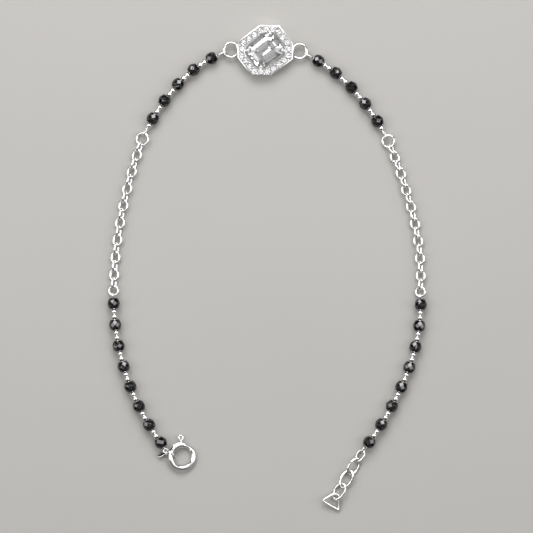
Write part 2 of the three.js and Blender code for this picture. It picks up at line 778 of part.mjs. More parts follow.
function clasp(course, marks) {
  const group = new THREE.Group();
  const end = course.pointAt(marks.lastBead);
  const heading = degToRad(COURSE.left.lower[2]);
  const x = end.x + CLASP.along * Math.cos(heading) - CLASP.aside * Math.sin(heading);
  const y = end.y + CLASP.along * Math.sin(heading) + CLASP.aside * Math.cos(heading);
  const spring = new THREE.Group();
  spring.add(claspRing(), claspBolt());
  spring.rotation.y = degToRad(CLASP.lean);
  spring.position.z = CLASP.tube + CLASP.bend * Math.sin(degToRad(CLASP.lean));
  const tag = claspTag();
  const hang = Math.PI + degToRad(TAG.aroundRing);
  tag.position.set(Math.cos(hang), Math.sin(hang), 0).multiplyScalar(wireRadius(JUMP_RING));
  tag.position.applyMatrix4(jumpRingFrame());
  tag.rotation.set(degToRad(TAG.tilt), 0, degToRad(TAG.heading), 'ZYX');
  group.add(spring, jumpRing(), tag);
  group.position.set(x, y, 0);
  return group;
}

// ---- the bracelet ----------------------------------------------------------------------------

const marks = stations();
const leftHeading = COURSE.left.lower[2];
const leftCourse = sideCourse('left', marks, {
  legs: [
    { length: CLASP_EYE.stubTo, from: leftHeading, to: leftHeading },
    { length: CLASP_EYE.to, from: CLASP_EYE.heading, to: CLASP_EYE.heading },
  ],
  levels: [{ at: marks.lastBead + CLASP_EYE.from, z: CLASP_EYE.level }],
});
const rightCourse = sideCourse('right', marks, {
  legs: extensionLegs(),
  levels: [{ at: marks.lastBead + EXTENSION.lead, z: EXTENSION.level }],
});

const claspEye = {
  from: marks.lastBead + CLASP_EYE.from,
  to: marks.lastBead + CLASP_EYE.to,
  width: CLASP_EYE.width,
  tilt: EYE_TILT.clasp,
};
const nearWire = marks.lastBead + EXTENSION.lead - (EXTENSION.links[0].length - EXTENSION.wire) / 2;
const extensionEye = eyeAround(
  nearWire, EXTENSION.wire, marks.lastBead + STRING.beadEnd, EYE_TILT.extension);

const bracelet = new THREE.Group();
bracelet.add(
  centrepiece(),
  sideOfBracelet('left', leftCourse, marks, claspEye),
  sideOfBracelet('right', rightCourse, marks, extensionEye),
  extension(rightCourse, marks),
  clasp(leftCourse, marks),
);

bracelet.updateMatrixWorld(true);
const box = new THREE.Box3().setFromObject(bracelet, true);
const middle = box.getCenter(new THREE.Vector3());
bracelet.position.set(-middle.x, -middle.y, -box.min.z);

export default bracelet;
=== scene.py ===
"""Fine beaded bracelet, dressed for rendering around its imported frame.

A halo-set step-cut stone carries a string of cut black beads and round silver beads at each
side, then a length of cable chain and a second string. The left side ends in a spring-ring clasp
and the right side in an extension. Each piece stands for the solids of the same name.
"""

import json
import random
from math import asin, atan2, ceil, copysign, cos, pi, radians, sin
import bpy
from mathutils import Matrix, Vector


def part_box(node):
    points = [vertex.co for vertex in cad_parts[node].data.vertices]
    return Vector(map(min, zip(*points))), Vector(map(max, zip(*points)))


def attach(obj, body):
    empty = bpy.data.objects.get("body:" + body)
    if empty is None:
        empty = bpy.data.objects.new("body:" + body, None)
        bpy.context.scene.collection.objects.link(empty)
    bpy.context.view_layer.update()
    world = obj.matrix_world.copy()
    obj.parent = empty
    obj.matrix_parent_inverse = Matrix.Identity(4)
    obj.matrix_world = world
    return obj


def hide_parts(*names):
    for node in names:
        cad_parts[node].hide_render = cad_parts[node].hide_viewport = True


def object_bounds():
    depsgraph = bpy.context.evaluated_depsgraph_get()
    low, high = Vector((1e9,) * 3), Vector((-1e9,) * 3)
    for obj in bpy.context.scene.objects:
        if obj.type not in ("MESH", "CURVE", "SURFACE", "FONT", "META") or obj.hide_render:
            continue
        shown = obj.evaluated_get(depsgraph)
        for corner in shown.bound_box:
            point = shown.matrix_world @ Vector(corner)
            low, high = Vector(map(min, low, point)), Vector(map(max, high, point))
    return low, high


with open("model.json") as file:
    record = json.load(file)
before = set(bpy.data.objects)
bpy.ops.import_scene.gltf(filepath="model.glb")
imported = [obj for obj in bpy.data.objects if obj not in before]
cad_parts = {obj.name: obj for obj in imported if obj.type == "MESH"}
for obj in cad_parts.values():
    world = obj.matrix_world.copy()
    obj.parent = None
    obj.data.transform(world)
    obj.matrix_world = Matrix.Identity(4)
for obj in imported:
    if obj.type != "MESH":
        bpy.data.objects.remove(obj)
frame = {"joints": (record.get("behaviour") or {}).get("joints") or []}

from types import SimpleNamespace

import bmesh
import bpy
from bpy.props import FloatProperty, FloatVectorProperty, IntProperty, PointerProperty
from bpy.types import Operator, Panel, PropertyGroup
from mathutils import Matrix, Vector
from mathutils.geometry import tessellate_polygon

bl_info = {
    "name": "Beaded Bracelet",
    "version": (1, 0, 0),
    "blender": (4, 5, 0),
    "location": "3D View > Sidebar > Bracelet",
    "description": "Builds a fine bracelet of cut beads, silver chain and a halo-set stone",
    "category": "Add Mesh",
}

MM = 0.001
CAD_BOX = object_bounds()
BRACELET = "bracelet"
BOLT = "clasp_bolt"
SIDES = ("left", "right")

WIRE_SIDES = 14          # round a wire
LINK_BENDS = 40          # round a link or a ring
PLATE_STEPS = 3          # across the rounded edge of a plate
WELD = 1e-4              # millimetres between points that are made one
METAL_CREASE = radians(30)
STONE_CREASE = 0.01      # every facet of a cut stone stays flat


# ---- settings ------------------------------------------------------------------------------

def hex_colour(code):
    """An sRGB hex code as the linear values that a shader takes."""
    channels = [int(code[i:i + 2], 16) / 255 for i in (1, 3, 5)]
    linear = [c / 12.92 if c <= 0.04045 else ((c + 0.055) / 1.055) ** 2.4 for c in channels]
    return (*linear, 1.0)


def length(name, millimetres, description):
    """A length, given in millimetres and kept in metres."""
    return FloatProperty(
        name=name, description=description, default=millimetres * MM, precision=5,
        unit="LENGTH", subtype="DISTANCE")


def angle(name, given, description):
    """An angle, given in degrees."""
    return FloatProperty(
        name=name, description=description, default=radians(given),
        unit="ROTATION", subtype="ANGLE")


def headings(name, given, description):
    """Headings at the start, middle and end of a stretch, given in degrees from +X."""
    return FloatVectorProperty(
        name=name, description=description, size=len(given),
        default=[radians(value) for value in given], unit="ROTATION")


def colour(name, code, description):
    """A colour, given as an sRGB hex code."""
    return FloatVectorProperty(
        name=name, description=description, size=4, min=0.0, max=1.0,
        default=hex_colour(code), subtype="COLOR")


class HaloSizes(PropertyGroup):
    lie: angle("Lie", -1.1, "How far the centrepiece is turned as it lies")
    slant: angle("Slant", 38.4, "Heading of the long axis above the line of the side rings")
    length: length("Length", 9.4, "Between the two short slanted sides")
    width: length("Width", 8.4, "Between the two long slanted sides")
    across: length("Across", 9.85, "Between the two upright sides")
    tall: length("Tall", 9.0, "Between the two level sides")
    slanted_band: length("Slanted band", 1.54, "Width of the band along the slanted sides")
    square_band: length("Square band", 1.39, "Width of the band along the other sides")
    height: length("Height", 1.85, "Surface to the bed of the small stones")
    rim_width: length("Rim width", 0.2, "Width of the polished outer rim")
    rim_height: length("Rim height", 0.12, "Height of the rim above the bed")
    lip_height: length("Lip height", 0.08, "Height of the inner lip above the bed")
    seat: length("Seat", 0.5, "Height of the plate that carries the claws")
    ring: length("Ring", 3.1, "Outside diameter of the side rings")
    ring_wire: length("Ring wire", 0.5, "Wire of the side rings")
    ring_offset: length("Ring offset", 6.15, "Centre of the halo to the centre of a side ring")
    ring_level: length("Ring level", 1.1, "Height of the side rings' wire")


class PaveSizes(PropertyGroup):
    count: IntProperty(name="Stones", description="Small stones round the halo", default=21)
    diameter: length("Diameter", 0.95, "Girdle of a small stone")
    table: length("Table", 0.52, "Flat top of a small stone")
    girdle: length("Girdle", 0.05, "Thickness of the girdle")
    crown: length("Crown", 0.14, "Girdle to table")
    pavilion: length("Pavilion", 0.41, "Girdle to the point below")
    grain: length("Grain", 0.27, "Diameter of a raised grain that holds two stones")


class StoneSizes(PropertyGroup):
    length: length("Length", 5.8, "Long side of the centre stone")
    width: length("Width", 4.65, "Short side of the centre stone")
    corner: length("Corner", 1.0, "How far along each side the corners are cut")
    girdle: length("Girdle", 2.45, "Height of the underside of the girdle")
    claw: length("Claw", 0.48, "Diameter of a claw's shank")
    claw_head: length("Claw head", 0.62, "Diameter of a claw's head")
    claw_along: length("Claw along", 2.61, "Claws from the centre, along the stone")
    claw_across: length("Claw across", 2.03, "Claws from the centre, across the stone")
    claw_lean: length("Claw lean", 0.16, "How far the heads lean in, each way")
    claw_top: length("Claw top", 3.195, "Height of the claws")


class BeadSizes(PropertyGroup):
    diameter: length("Diameter", 2.3, "Across the middle corners of a black bead")
    length: length("Length", 1.86, "Along the drilled hole")
    bore: length("Bore", 0.62, "Drilled hole")
    shoulder: length("Shoulder", 0.42, "Middle to the second row of corners")
    level: length("Level", 1.15, "Height of the beads' middle")
    facets: IntProperty(name="Facets", description="Facets round each row", default=8)
    softening: length("Softening", 0.012, "Width of the worn edge between two facets")
    silver: length("Silver diameter", 1.06, "Small round silver bead")
    silver_length: length("Silver length", 0.9, "Silver bead along the wire")
    silver_end: length("Silver end", 0.5, "Flat end of a silver bead round its hole")


class StringSizes(PropertyGroup):
    wire: length("Wire", 0.3, "Beading wire")
    eye_wire: length("Eye wire", 0.25, "Wire of the eyes at the ends")
    play: length("Play", 0.07, "Room between an eye and the wire it holds")
    pitch: length("Pitch", 3.83, "Black bead to black bead")
    lead: length("Lead", 3.8, "Side ring to the first bead")
    tail: length("Tail", 4.1, "Fifth bead to the upper chain ring")
    restart: length("Restart", 2.32, "Lower chain ring to the sixth bead")
    end_silver: length("Last silver", 1.42, "Fifth bead to the single silver bead")
    bead_end: length("Bead end", 0.99, "Middle of a black bead to the eye beside it")
    silver_end: length("Silver end", 0.37, "Middle of a silver bead to the eye beside it")
    upper: IntProperty(name="Upper beads", description="Black beads by the halo", default=5)
    lower: IntProperty(name="Lower beads", description="Black beads past the chain", default=8)


class ChainSizes(PropertyGroup):
    links: IntProperty(name="Links", description="Links in each length of chain", default=17)
    length: length("Length", 2.35, "Outside length of a link")
    width: length("Width", 1.81, "Outside width of a link")
    wire: length("Wire", 0.43, "Wire of the links")
    straight: length("Straight", 0.25, "Straight part of a link's long sides")
    pitch: length("Pitch", 1.566, "Link to link")
    level: length("Level", 0.84, "Height of the chain's middle")
    on_edge: angle("On edge", -64, "Turn of the first link and every second one after it")
    near_flat: angle("Nearly flat", 6, "Turn of the links between")
    upper_ring: length("Upper ring", 2.57, "Ring above the chain")
    upper_wire: length("Upper ring wire", 0.42, "Wire of the ring above the chain")
    upper_gap: length("Upper gap", 1.53, "Upper ring to the first link")
    lower_ring: length("Lower ring", 2.06, "Ring below the chain")
    lower_wire: length("Lower ring wire", 0.38, "Wire of the ring below the chain")
    lower_gap: length("Lower gap", 1.3, "Last link to the lower ring")
    ring_tilt: angle("Ring tilt", 14, "Turn of the two rings about the course")


class CourseHeadings(PropertyGroup):
    left_upper: headings("Left upper", (198, 228, 246), "Left side, beads by the halo")
    left_chain: headings("Left chain", (250, 259, 269), "Left side, chain")
    left_lower: headings("Left lower", (269, 287, 306), "Left side, beads by the clasp")
    right_upper: headings("Right upper", (-23, -47, -64), "Right side, beads by the halo")
    right_chain: headings("Right chain", (-67, -76, -93), "Right side, chain")
    right_lower: headings("Right lower", (-87, -111, -126), "Right side, last beads")


class ExtensionSizes(PropertyGroup):
    wire: length("Wire", 0.44, "Wire of the larger links")
    level: length("Level", 0.8, "Height of the links' middle")
    lead: length("Lead", 2.95, "Last bead to the first link")
    lead_heading: angle("Lead heading", -124, "Heading from the last bead to the first link")
    heading: angle("Heading", -120.5, "Heading of the links")
    side: length("Triangle side", 3.7, "Side of the end triangle, to its sharp corners")
    bend: length("Bend", 0.85, "Bend of the triangle's near end")
    corner: length("Corner", 0.26, "Bend of the triangle's two far corners")
    triangle_wire: length("Triangle wire", 0.48, "Wire of the triangle")
    tilt: angle("Triangle tilt", -14, "Turn of the triangle about the course")
    slack: length("Slack", 0.47, "Room between the last link and the triangle")


class ClaspSizes(PropertyGroup):
    bend: length("Bend", 2.08, "Radius of the tube's centreline")
    tube: length("Tube", 0.98, "Diameter of the tube")
    bore: length("Bore", 0.78, "Inside diameter of the tube")
    bolt: length("Bolt", 0.64, "Diameter of the sliding bolt")
    tube_from: angle("Mouth edge", 75, "Where the tube starts, at the mouth")
    tube_to: angle("Mouth far edge", 402, "Where the tube ends, at the mouth's other side")
    bore_to: angle("Bore end", 192, "Where the hollow part ends")
    bolt_tip: angle("Bolt tip", 43.2, "Tip of the closed bolt")
    bolt_tail: angle("Bolt tail", 152, "Inner end of the closed bolt")
    slot: length("Slot", 0.34, "Width of the catch's slot")
    slot_margin: angle("Slot margin", 7, "Slot beyond the catch at each end of its travel")
    catch_at: angle("Catch", 94, "Where the catch stands when the bolt is closed")
    travel: angle("Travel", 33, "How far the catch slides")
    catch_from: length("Catch from", 2.64, "Centre of the clasp to the catch's loop")
    catch_length: length("Catch length", 1.36, "Tear-shaped loop of the catch")
    catch_width: length("Catch width", 1.28, "Widest part of the loop")
    catch_wire: length("Catch wire", 0.34, "Thickness of the loop")
    catch_neck: length("Catch neck", 0.26, "Thickness of the stem in the slot")
    eye_stub: length("Eye stub", 0.95, "Last bead to the bend before the clasp's eye")
    eye_from: length("Eye from", 1.22, "Last bead to the near end of that eye")
    eye_to: length("Eye to", 2.28, "Last bead to the far end of that eye")
    eye_width: length("Eye width", 1.04, "Outside width of that eye")
    eye_heading: angle("Eye heading", 294, "Heading of that eye")
    eye_level: length("Eye level", 1.1, "Height of that eye")
    ring: length("Jump ring", 2.3, "Outside diameter of the jump ring")
    ring_wire: length("Jump ring wire", 0.34, "Wire of the jump ring")
    ring_heading: angle("Jump ring heading", -36, "Heading of the jump ring's plane")
    ring_lean: angle("Jump ring lean", 20, "How far the jump ring leans from upright")
    tag: length("Tag", 2.2, "Length of the plain tag")
    tag_thickness: length("Tag thickness", 0.24, "Thickness of the tag")
    tag_heading: angle("Tag heading", 200, "Heading of the tag")
    tag_tilt: angle("Tag tilt", 45, "Turn of the tag about its length")
    tag_at: angle("Tag place", 42, "Where the tag hangs on the jump ring")


class FinishColours(PropertyGroup):
    silver: colour("Silver", "#F4F4F4", "Rhodium-plated silver")
    silver_shade: colour("Silver shade", "#E0DFDE", "Faint clouding of the plating")
    black: colour("Black", "#050506", "Body of the black beads")
    black_shade: colour("Black shade", "#0B0B0D", "Faint greyish zones in the beads")
    clear: colour("Clear", "#FFFFFF", "Clear stones")
    floor: colour("Floor", "#9B9996", "Pale studio floor")


class StudioSizes(PropertyGroup):
    view_width: length("View width", 95.94, "Width of the picture where the bracelet lies")
    view_x: length("View X", -0.126, "Middle of the picture, to the right of the origin")
    view_y: length("View Y", 0.288, "Middle of the picture, above the origin")
    camera_height: length("Camera height", 700, "Camera above the floor")
    floor: length("Floor", 3000, "Side of the floor")


class BraceletSettings(PropertyGroup):
    halo: PointerProperty(type=HaloSizes)
    pave: PointerProperty(type=PaveSizes)
    stone: PointerProperty(type=StoneSizes)
    bead: PointerProperty(type=BeadSizes)
    string: PointerProperty(type=StringSizes)
    chain: PointerProperty(type=ChainSizes)
    course: PointerProperty(type=CourseHeadings)
    extension: PointerProperty(type=ExtensionSizes)
    clasp: PointerProperty(type=ClaspSizes)
    colours: PointerProperty(type=FinishColours)
    studio: PointerProperty(type=StudioSizes)


def millimetres(group):
    """The values of a settings group by name, with its lengths in millimetres."""
    values = {}
    for name in type(group).__annotations__:
        value = getattr(group, name)
        is_length = group.bl_rna.properties[name].unit == "LENGTH"
        values[name] = value / MM if is_length else value
    return SimpleNamespace(**values)


def all_sizes(context):
    """Every settings group but the colours, in millimetres."""
    settings = context.scene.bracelet
    names = [name for name in type(settings).__annotations__ if name != "colours"]
    return SimpleNamespace(**{name: millimetres(getattr(settings, name)) for name in names})


# ---- forms ---------------------------------------------------------------------------------

class Form:
    """Points in millimetres and the faces between them."""

    def __init__(self, points=(), faces=()):
        self.points = [Vector(point) for point in points]
        self.faces = [tuple(face) for face in faces]

    def add(self, other):
        """Take in the points and faces of another form, and give this one back."""
        first = len(self.points)
        self.points += other.points
        self.faces += [tuple(i + first for i in face) for face in other.faces]
        return self

    def moved(self, matrix):
        """A copy in another place."""
        return Form([matrix @ point for point in self.points], self.faces)

    def mesh(self, name):
        """A mesh of these faces, all turned outward."""
        mesh = bpy.data.meshes.new(name)
        mesh.from_pydata(self.points, [], self.faces)
        turn_outward(mesh)
        return mesh


def turn_outward(mesh):
    """Turn every face of a mesh outward."""
    bm = bmesh.new()
    bm.from_mesh(mesh)
    bmesh.ops.recalc_face_normals(bm, faces=bm.faces)
    bm.to_mesh(mesh)
    bm.free()


def form_of(bm):
    """The form that a bmesh holds, which is then freed."""
    bm.verts.ensure_lookup_table()
    bm.verts.index_update()
    form = Form([v.co for v in bm.verts], [[v.index for v in face.verts] for face in bm.faces])
    bm.free()
    return form


def circle(radius, sides, start=0.0):
    """Points round a circle, anticlockwise from a start turn."""
    turns = [start + 2 * pi * i / sides for i in range(sides)]
    return [(radius * cos(turn), radius * sin(turn)) for turn in turns]


def skin(rows, closed=False, capped=False):
    """Rows of equal point count, each a closed ring, joined one to the next."""
    count = len(rows[0])
    faces = []
    for row in range(len(rows) if closed else len(rows) - 1):
        a, b = row * count, (row + 1) % len(rows) * count
        for i in range(count):
            j = (i + 1) % count
            faces.append((a + i, a + j, b + j, b + i))
    if capped:
        last = (len(rows) - 1) * count
        faces.append(tuple(range(count)))
        faces.append(tuple(range(last, last + count)))
    return Form([point for row in rows for point in row], faces)


def offset(outline, distance):
    """A flat outline moved to the left of its own direction."""
    moved = []
    for i, point in enumerate(outline):
        before, after = Vector(outline[i - 1]), Vector(outline[(i + 1) % len(outline)])
        here = Vector(point)
        arriving, leaving = (here - before).normalized(), (after - here).normalized()
        left = Vector((-arriving.y - leaving.y, arriving.x + leaving.x))
        reach = 2 * distance / left.length_squared
        moved.append((here.x + left.x * reach, here.y + left.y * reach))
    return moved


def plate(loops, bottom, top, edge):
    """Flat plate with rounded edges: its outline runs anticlockwise and its holes clockwise."""
    form = Form()
    for loop in loops:
        rows = []
        for k in range(PLATE_STEPS + 1):
            turn = k / PLATE_STEPS * pi / 2
            row = offset(loop, edge * (1 - sin(turn)))
            rows.append([(x, y, bottom + edge * (1 - cos(turn))) for x, y in row])
        upper = [[(x, y, top + bottom - z) for x, y, z in row] for row in reversed(rows)]
        form.add(skin(rows + upper))
    for level in (bottom, top):
        flats = [[Vector((x, y, level)) for x, y in offset(loop, edge)] for loop in loops]
        form.add(Form([p for flat in flats for p in flat], tessellate_polygon(flats)))
    return welded(form)


def welded(form):
    """The form with points that coincide made one."""
    bm = bmesh.new()
    vertices = [bm.verts.new(point) for point in form.points]
    for face in form.faces:
        bm.faces.new([vertices[i] for i in face])
    bmesh.ops.remove_doubles(bm, verts=bm.verts, dist=WELD)
    return form_of(bm)


def wire_loop(bends, wire):
    """Closed loop of round wire from bends (x, y, outward direction) of its centreline."""
    section = circle(wire / 2, WIRE_SIDES)
    rows = []
    for x, y, outward in bends:
        rows.append([(x + c * cos(outward), y + c * sin(outward), s) for c, s in section])
    return skin(rows, closed=True)


def link(length, width, wire, straight=0.0, taper=1.0, twist=(0.0, 0.0), bends=LINK_BENDS):
    """Oval wire link with its length along X.

    Straight is the length of its parallel sides, taper the width of the near end as a share of
    the far end's, and twist the turn about X at the near and the far end.
    """
    a, b = (length - wire - straight) / 2, (width - wire) / 2
    centreline = []
    for i in range(bends):
        turn = 2 * pi * (i + 0.5) / bends
        narrowing = taper + (1 - taper) * (cos(turn) + 1) / 2
        x = a * cos(turn) + copysign(straight / 2, cos(turn))
        centreline.append((x, b * sin(turn) * narrowing, atan2(a * sin(turn), b * cos(turn))))
    form = wire_loop(centreline, wire)
    near, far = twist
    for point in form.points:
        share = point.x / length + 0.5
        point.rotate(Matrix.Rotation(near + (far - near) * share, 3, "X"))
    return form


def ring(diameter, wire, bends=LINK_BENDS):
    """Round ring of wire, lying flat."""
    return link(diameter, diameter, wire, bends=bends)


# ---- the course that each side follows -------------------------------------------------------

STRAIGHT = 1e-9          # an arc that turns by less is a straight line
TANGENT_REACH = 0.05     # to each side of the place whose direction is taken
RUN_ON = 1.0             # any length will do for the last leg, which runs on past its end


class Course:
    """Centreline of one side in arcs, measured from the centre of its side ring."""

    def __init__(self, start, legs, levels):
        self.start = start
        self.legs = legs        # (length, heading at its start, heading at its end)
        self.levels = levels    # (distance, height)

    def height_at(self, distance):
        """Height above the surface, which changes evenly from one level to the next."""
        for (at, height), (next_at, next_height) in zip(self.levels, self.levels[1:]):
            if distance < next_at:
                share = max(0.0, (distance - at) / (next_at - at))
                return height + (next_height - height) * share
        return self.levels[-1][1]

    def point_at(self, distance):
        """Place on the centreline at a distance along it."""
        x, y = self.start
        left = distance
        for i, (leg, start, end) in enumerate(self.legs):
            run = left if i == len(self.legs) - 1 else min(left, leg)
            half = (end - start) / leg * run / 2
            chord = run if abs(half) < STRAIGHT else run * sin(half) / half
            x += chord * cos(start + half)
            y += chord * sin(start + half)
            left -= run
            if left <= 0:
                break
        return Vector((x, y, self.height_at(distance)))

    def frame_at(self, distance, tilt=0.0):
        """Right-handed frame with X along the course and Z as near upright as it allows."""
        ahead = self.point_at(distance + TANGENT_REACH)
        along = (ahead - self.point_at(distance - TANGENT_REACH)).normalized()
        side = Vector((0, 0, 1)).cross(along).normalized()
        axes = Matrix((along, side, along.cross(side))).transposed().to_4x4()
        upright = Matrix.Translation(self.point_at(distance)) @ axes
        return upright @ Matrix.Rotation(tilt, 4, "X")


def marks_of(size):
    """Distances along each side at which its pieces stand."""
    string, chain = size.string, size.chain
    upper = [string.lead + i * string.pitch for i in range(string.upper)]
    upper_ring = upper[-1] + string.tail
    first_link = upper_ring + chain.upper_gap
    lower_ring = first_link + (chain.links - 1) * chain.pitch + chain.lower_gap
    lower = [lower_ring + string.restart + i * string.pitch for i in range(string.lower)]
    return SimpleNamespace(
        upper=upper, upper_ring=upper_ring, first_link=first_link, lower_ring=lower_ring,
        lower=lower, last=lower[-1])


def course_of(side, size):
    """The course of one side, from its side ring to the clasp or the end triangle."""
    halo, bead, chain, clasp, extension = (
        size.halo, size.bead, size.chain, size.clasp, size.extension)
    marks = marks_of(size)
    sign = -1 if side == "left" else 1
    start = (sign * halo.ring_offset * cos(halo.lie), sign * halo.ring_offset * sin(halo.lie))
    stretches = {
        "upper": marks.upper_ring,
        "chain": marks.lower_ring - marks.upper_ring,
        "lower": marks.last - marks.lower_ring,
    }
    legs = []
    for name, run in stretches.items():
        first, middle, last = getattr(size.course, f"{side}_{name}")
        legs += [(run / 2, first, middle), (run / 2, middle, last)]
    levels = [
        (0.0, halo.ring_level), (marks.upper[0], bead.level), (marks.upper[-1], bead.level),
        (marks.upper_ring, chain.level), (marks.lower_ring, chain.level),
        (marks.lower[0], bead.level), (marks.last, bead.level)]
    if side == "left":
        heading = size.course.left_lower[2]
        legs.append((clasp.eye_stub, heading, heading))
        legs.append((clasp.eye_to, clasp.eye_heading, clasp.eye_heading))
        levels.append((marks.last + clasp.eye_from, clasp.eye_level))
    else:
        legs.append((extension.lead, extension.lead_heading, extension.lead_heading))
        legs.append((RUN_ON, extension.heading, extension.heading))
        levels.append((marks.last + extension.lead, extension.level))
    return Course(start, legs, levels)


# ---- materials -----------------------------------------------------------------------------

def per_metre(millimetres_apart):
    """Texture scale for features of a real size."""
    return 1 / (millimetres_apart * MM)


def add_node(tree, kind, settings=None, inputs=None):
    """Add a node: settings are its own values, and inputs set or link its sockets."""
    node = tree.nodes.new(kind)
    for name, value in (settings or {}).items():
        setattr(node, name, value)
    for name, value in (inputs or {}).items():
        if isinstance(value, bpy.types.NodeSocket):
            tree.links.new(value, node.inputs[name])
        else:
            node.inputs[name].default_value = value
    return node


def material_named(name, build, *colours):
    """The material of that name, built the first time it is asked for."""
    material = bpy.data.materials.get(name)
    if material is None:
        material = bpy.data.materials.new(name)
        material.use_nodes = True
        tree = material.node_tree
        tree.nodes.clear()
        place = add_node(tree, "ShaderNodeTexCoord").outputs["Object"]
        shader = build(tree, place, *[tuple(colour) for colour in colours])
        add_node(tree, "ShaderNodeOutputMaterial", inputs={"Surface": shader})
    return material


MIX_FIRST, MIX_SECOND, MIX_RESULT = 6, 7, 2   # a Mix node's colour sockets, by number


def two_tones(tree, factor, first, second):
    """A colour that goes from the first to the second with a factor."""
    mix = add_node(tree, "ShaderNodeMix", {"data_type": "RGBA"}, {
        "Factor": factor, MIX_FIRST: first, MIX_SECOND: second})
    return mix.outputs[MIX_RESULT]


def plated_silver_nodes(tree, place, bright, shade):
    """Tumbled silver under rhodium: a white mirror, faintly clouded, with hair-fine marks."""
    clouds = add_node(tree, "ShaderNodeTexNoise", inputs={
        "Vector": place, "Scale": per_metre(0.9), "Detail": 3.0}).outputs["Fac"]
    polish = add_node(tree, "ShaderNodeMapRange", inputs={
        "Value": clouds, "From Min": 0.35, "From Max": 0.65,
        "To Min": 0.11, "To Max": 0.17}).outputs["Result"]
    # Real polishing marks are about 0.01 mm apart: these are coarser, so that they show
    marks = add_node(tree, "ShaderNodeTexNoise", inputs={
        "Vector": place, "Scale": per_metre(0.12), "Detail": 4.0}).outputs["Fac"]
    relief = add_node(tree, "ShaderNodeBump", inputs={
        "Height": marks, "Strength": 0.12, "Distance": 0.01 * MM}).outputs["Normal"]
    return add_node(tree, "ShaderNodeBsdfPrincipled", inputs={
        "Base Color": two_tones(tree, clouds, bright, shade), "Metallic": 1.0,
        "Roughness": polish, "Normal": relief}).outputs["BSDF"]


def black_spinel_nodes(tree, place, black, shade):
    """Black spinel, cut and polished flat by flat: each facet is a slightly wavy mirror."""
    zones = add_node(tree, "ShaderNodeTexNoise", inputs={
        "Vector": place, "Scale": per_metre(1.6), "Detail": 2.0}).outputs["Fac"]
    polish = add_node(tree, "ShaderNodeMapRange", inputs={
        "Value": zones, "From Min": 0.35, "From Max": 0.65,
        "To Min": 0.03, "To Max": 0.09}).outputs["Result"]
    waves = add_node(tree, "ShaderNodeTexNoise", inputs={
        "Vector": place, "Scale": per_metre(1.1), "Detail": 1.0}).outputs["Fac"]
    relief = add_node(tree, "ShaderNodeBump", inputs={
        "Height": waves, "Strength": 1.0, "Distance": 0.06 * MM}).outputs["Normal"]
    return add_node(tree, "ShaderNodeBsdfPrincipled", inputs={
        "Base Color": two_tones(tree, zones, black, shade), "Roughness": polish, "IOR": 1.72,
        "Normal": relief}).outputs["BSDF"]


def cubic_zirconia_nodes(tree, place, clear):
    """Cubic zirconia, cut and polished: clear, with bright glints and hard facet edges."""
    haze = add_node(tree, "ShaderNodeTexNoise", inputs={
        "Vector": place, "Scale": per_metre(0.7), "Detail": 2.0}).outputs["Fac"]
    polish = add_node(tree, "ShaderNodeMapRange", inputs={
        "Value": haze, "To Min": 0.0, "To Max": 0.03}).outputs["Result"]
    return add_node(tree, "ShaderNodeBsdfPrincipled", inputs={
        "Base Color": clear, "Roughness": polish, "IOR": 2.16,
        "Transmission Weight": 0.93}).outputs["BSDF"]


# ---- pieces --------------------------------------------------------------------------------

FINISHES = {  # by slot: material, its nodes and colours, and the angle where an edge turns sharp
    "silver": (
        "rhodium_plated_silver", plated_silver_nodes, ("silver", "silver_shade"), METAL_CREASE),
    "black_stone": (
        "faceted_black_spinel", black_spinel_nodes, ("black", "black_shade"), STONE_CREASE),
    "clear_stone": ("cut_cubic_zirconia", cubic_zirconia_nodes, ("clear",), STONE_CREASE),
}


def origin():
    """Centre of the halo on the surface, in millimetres: the forms are measured from there."""
    low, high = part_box("halo_setting")
    return Vector(((low.x + high.x) / 2, (low.y + high.y) / 2, low.z)) / MM


def add_piece(solid, form, slot, body=BRACELET, replaces=True):
    """Link a form as a finished piece that rides on a body and stands for the solid of its name."""
    placed = form.moved(Matrix.Scale(MM, 4) @ Matrix.Translation(origin()))
    low, high = CAD_BOX
    for point in placed.points:
        for axis in range(3):
            point[axis] = min(max(point[axis], low[axis]), high[axis])
    finish, nodes, colours, crease = FINISHES[slot]
    chosen = bpy.context.scene.bracelet.colours
    material = material_named(finish, nodes, *[getattr(chosen, colour) for colour in colours])
    name = f"{solid}_finished"
    mesh = placed.mesh(name)
    mesh.shade_smooth()
    mesh.set_sharp_from_angle(angle=crease)
    mesh.materials.append(material)
    piece = bpy.data.objects.new(name, mesh)
    bpy.context.collection.objects.link(piece)
    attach(piece, body)
    if replaces:
        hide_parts(solid)


# ---- centrepiece ---------------------------------------------------------------------------

def halo_outline(halo, inset):
    """Octagon of four pairs of parallel sides; an inset of 1 is the inner edge of the band."""
    slanted, square = inset * halo.slanted_band, inset * halo.square_band
    pairs = [
        (0.0, halo.across / 2 - square),
        (halo.slant, halo.length / 2 - slanted),
        (pi / 2, halo.tall / 2 - square),
        (halo.slant + pi / 2, halo.width / 2 - slanted),
    ]
    sides = pairs + [(normal + pi, half) for normal, half in pairs]
    corners = []
    for i, (a, near) in enumerate(sides):
        b, far = sides[(i + 1) % len(sides)]
        spread = sin(b - a)
        corners.append((
            (near * sin(b) - far * sin(a)) / spread, (far * cos(a) - near * cos(b)) / spread))
    return corners


def turned(outline, turn):
    """A flat outline turned about the origin."""
    spin = Matrix.Rotation(turn, 2)
    return [tuple(spin @ Vector(point)) for point in outline]


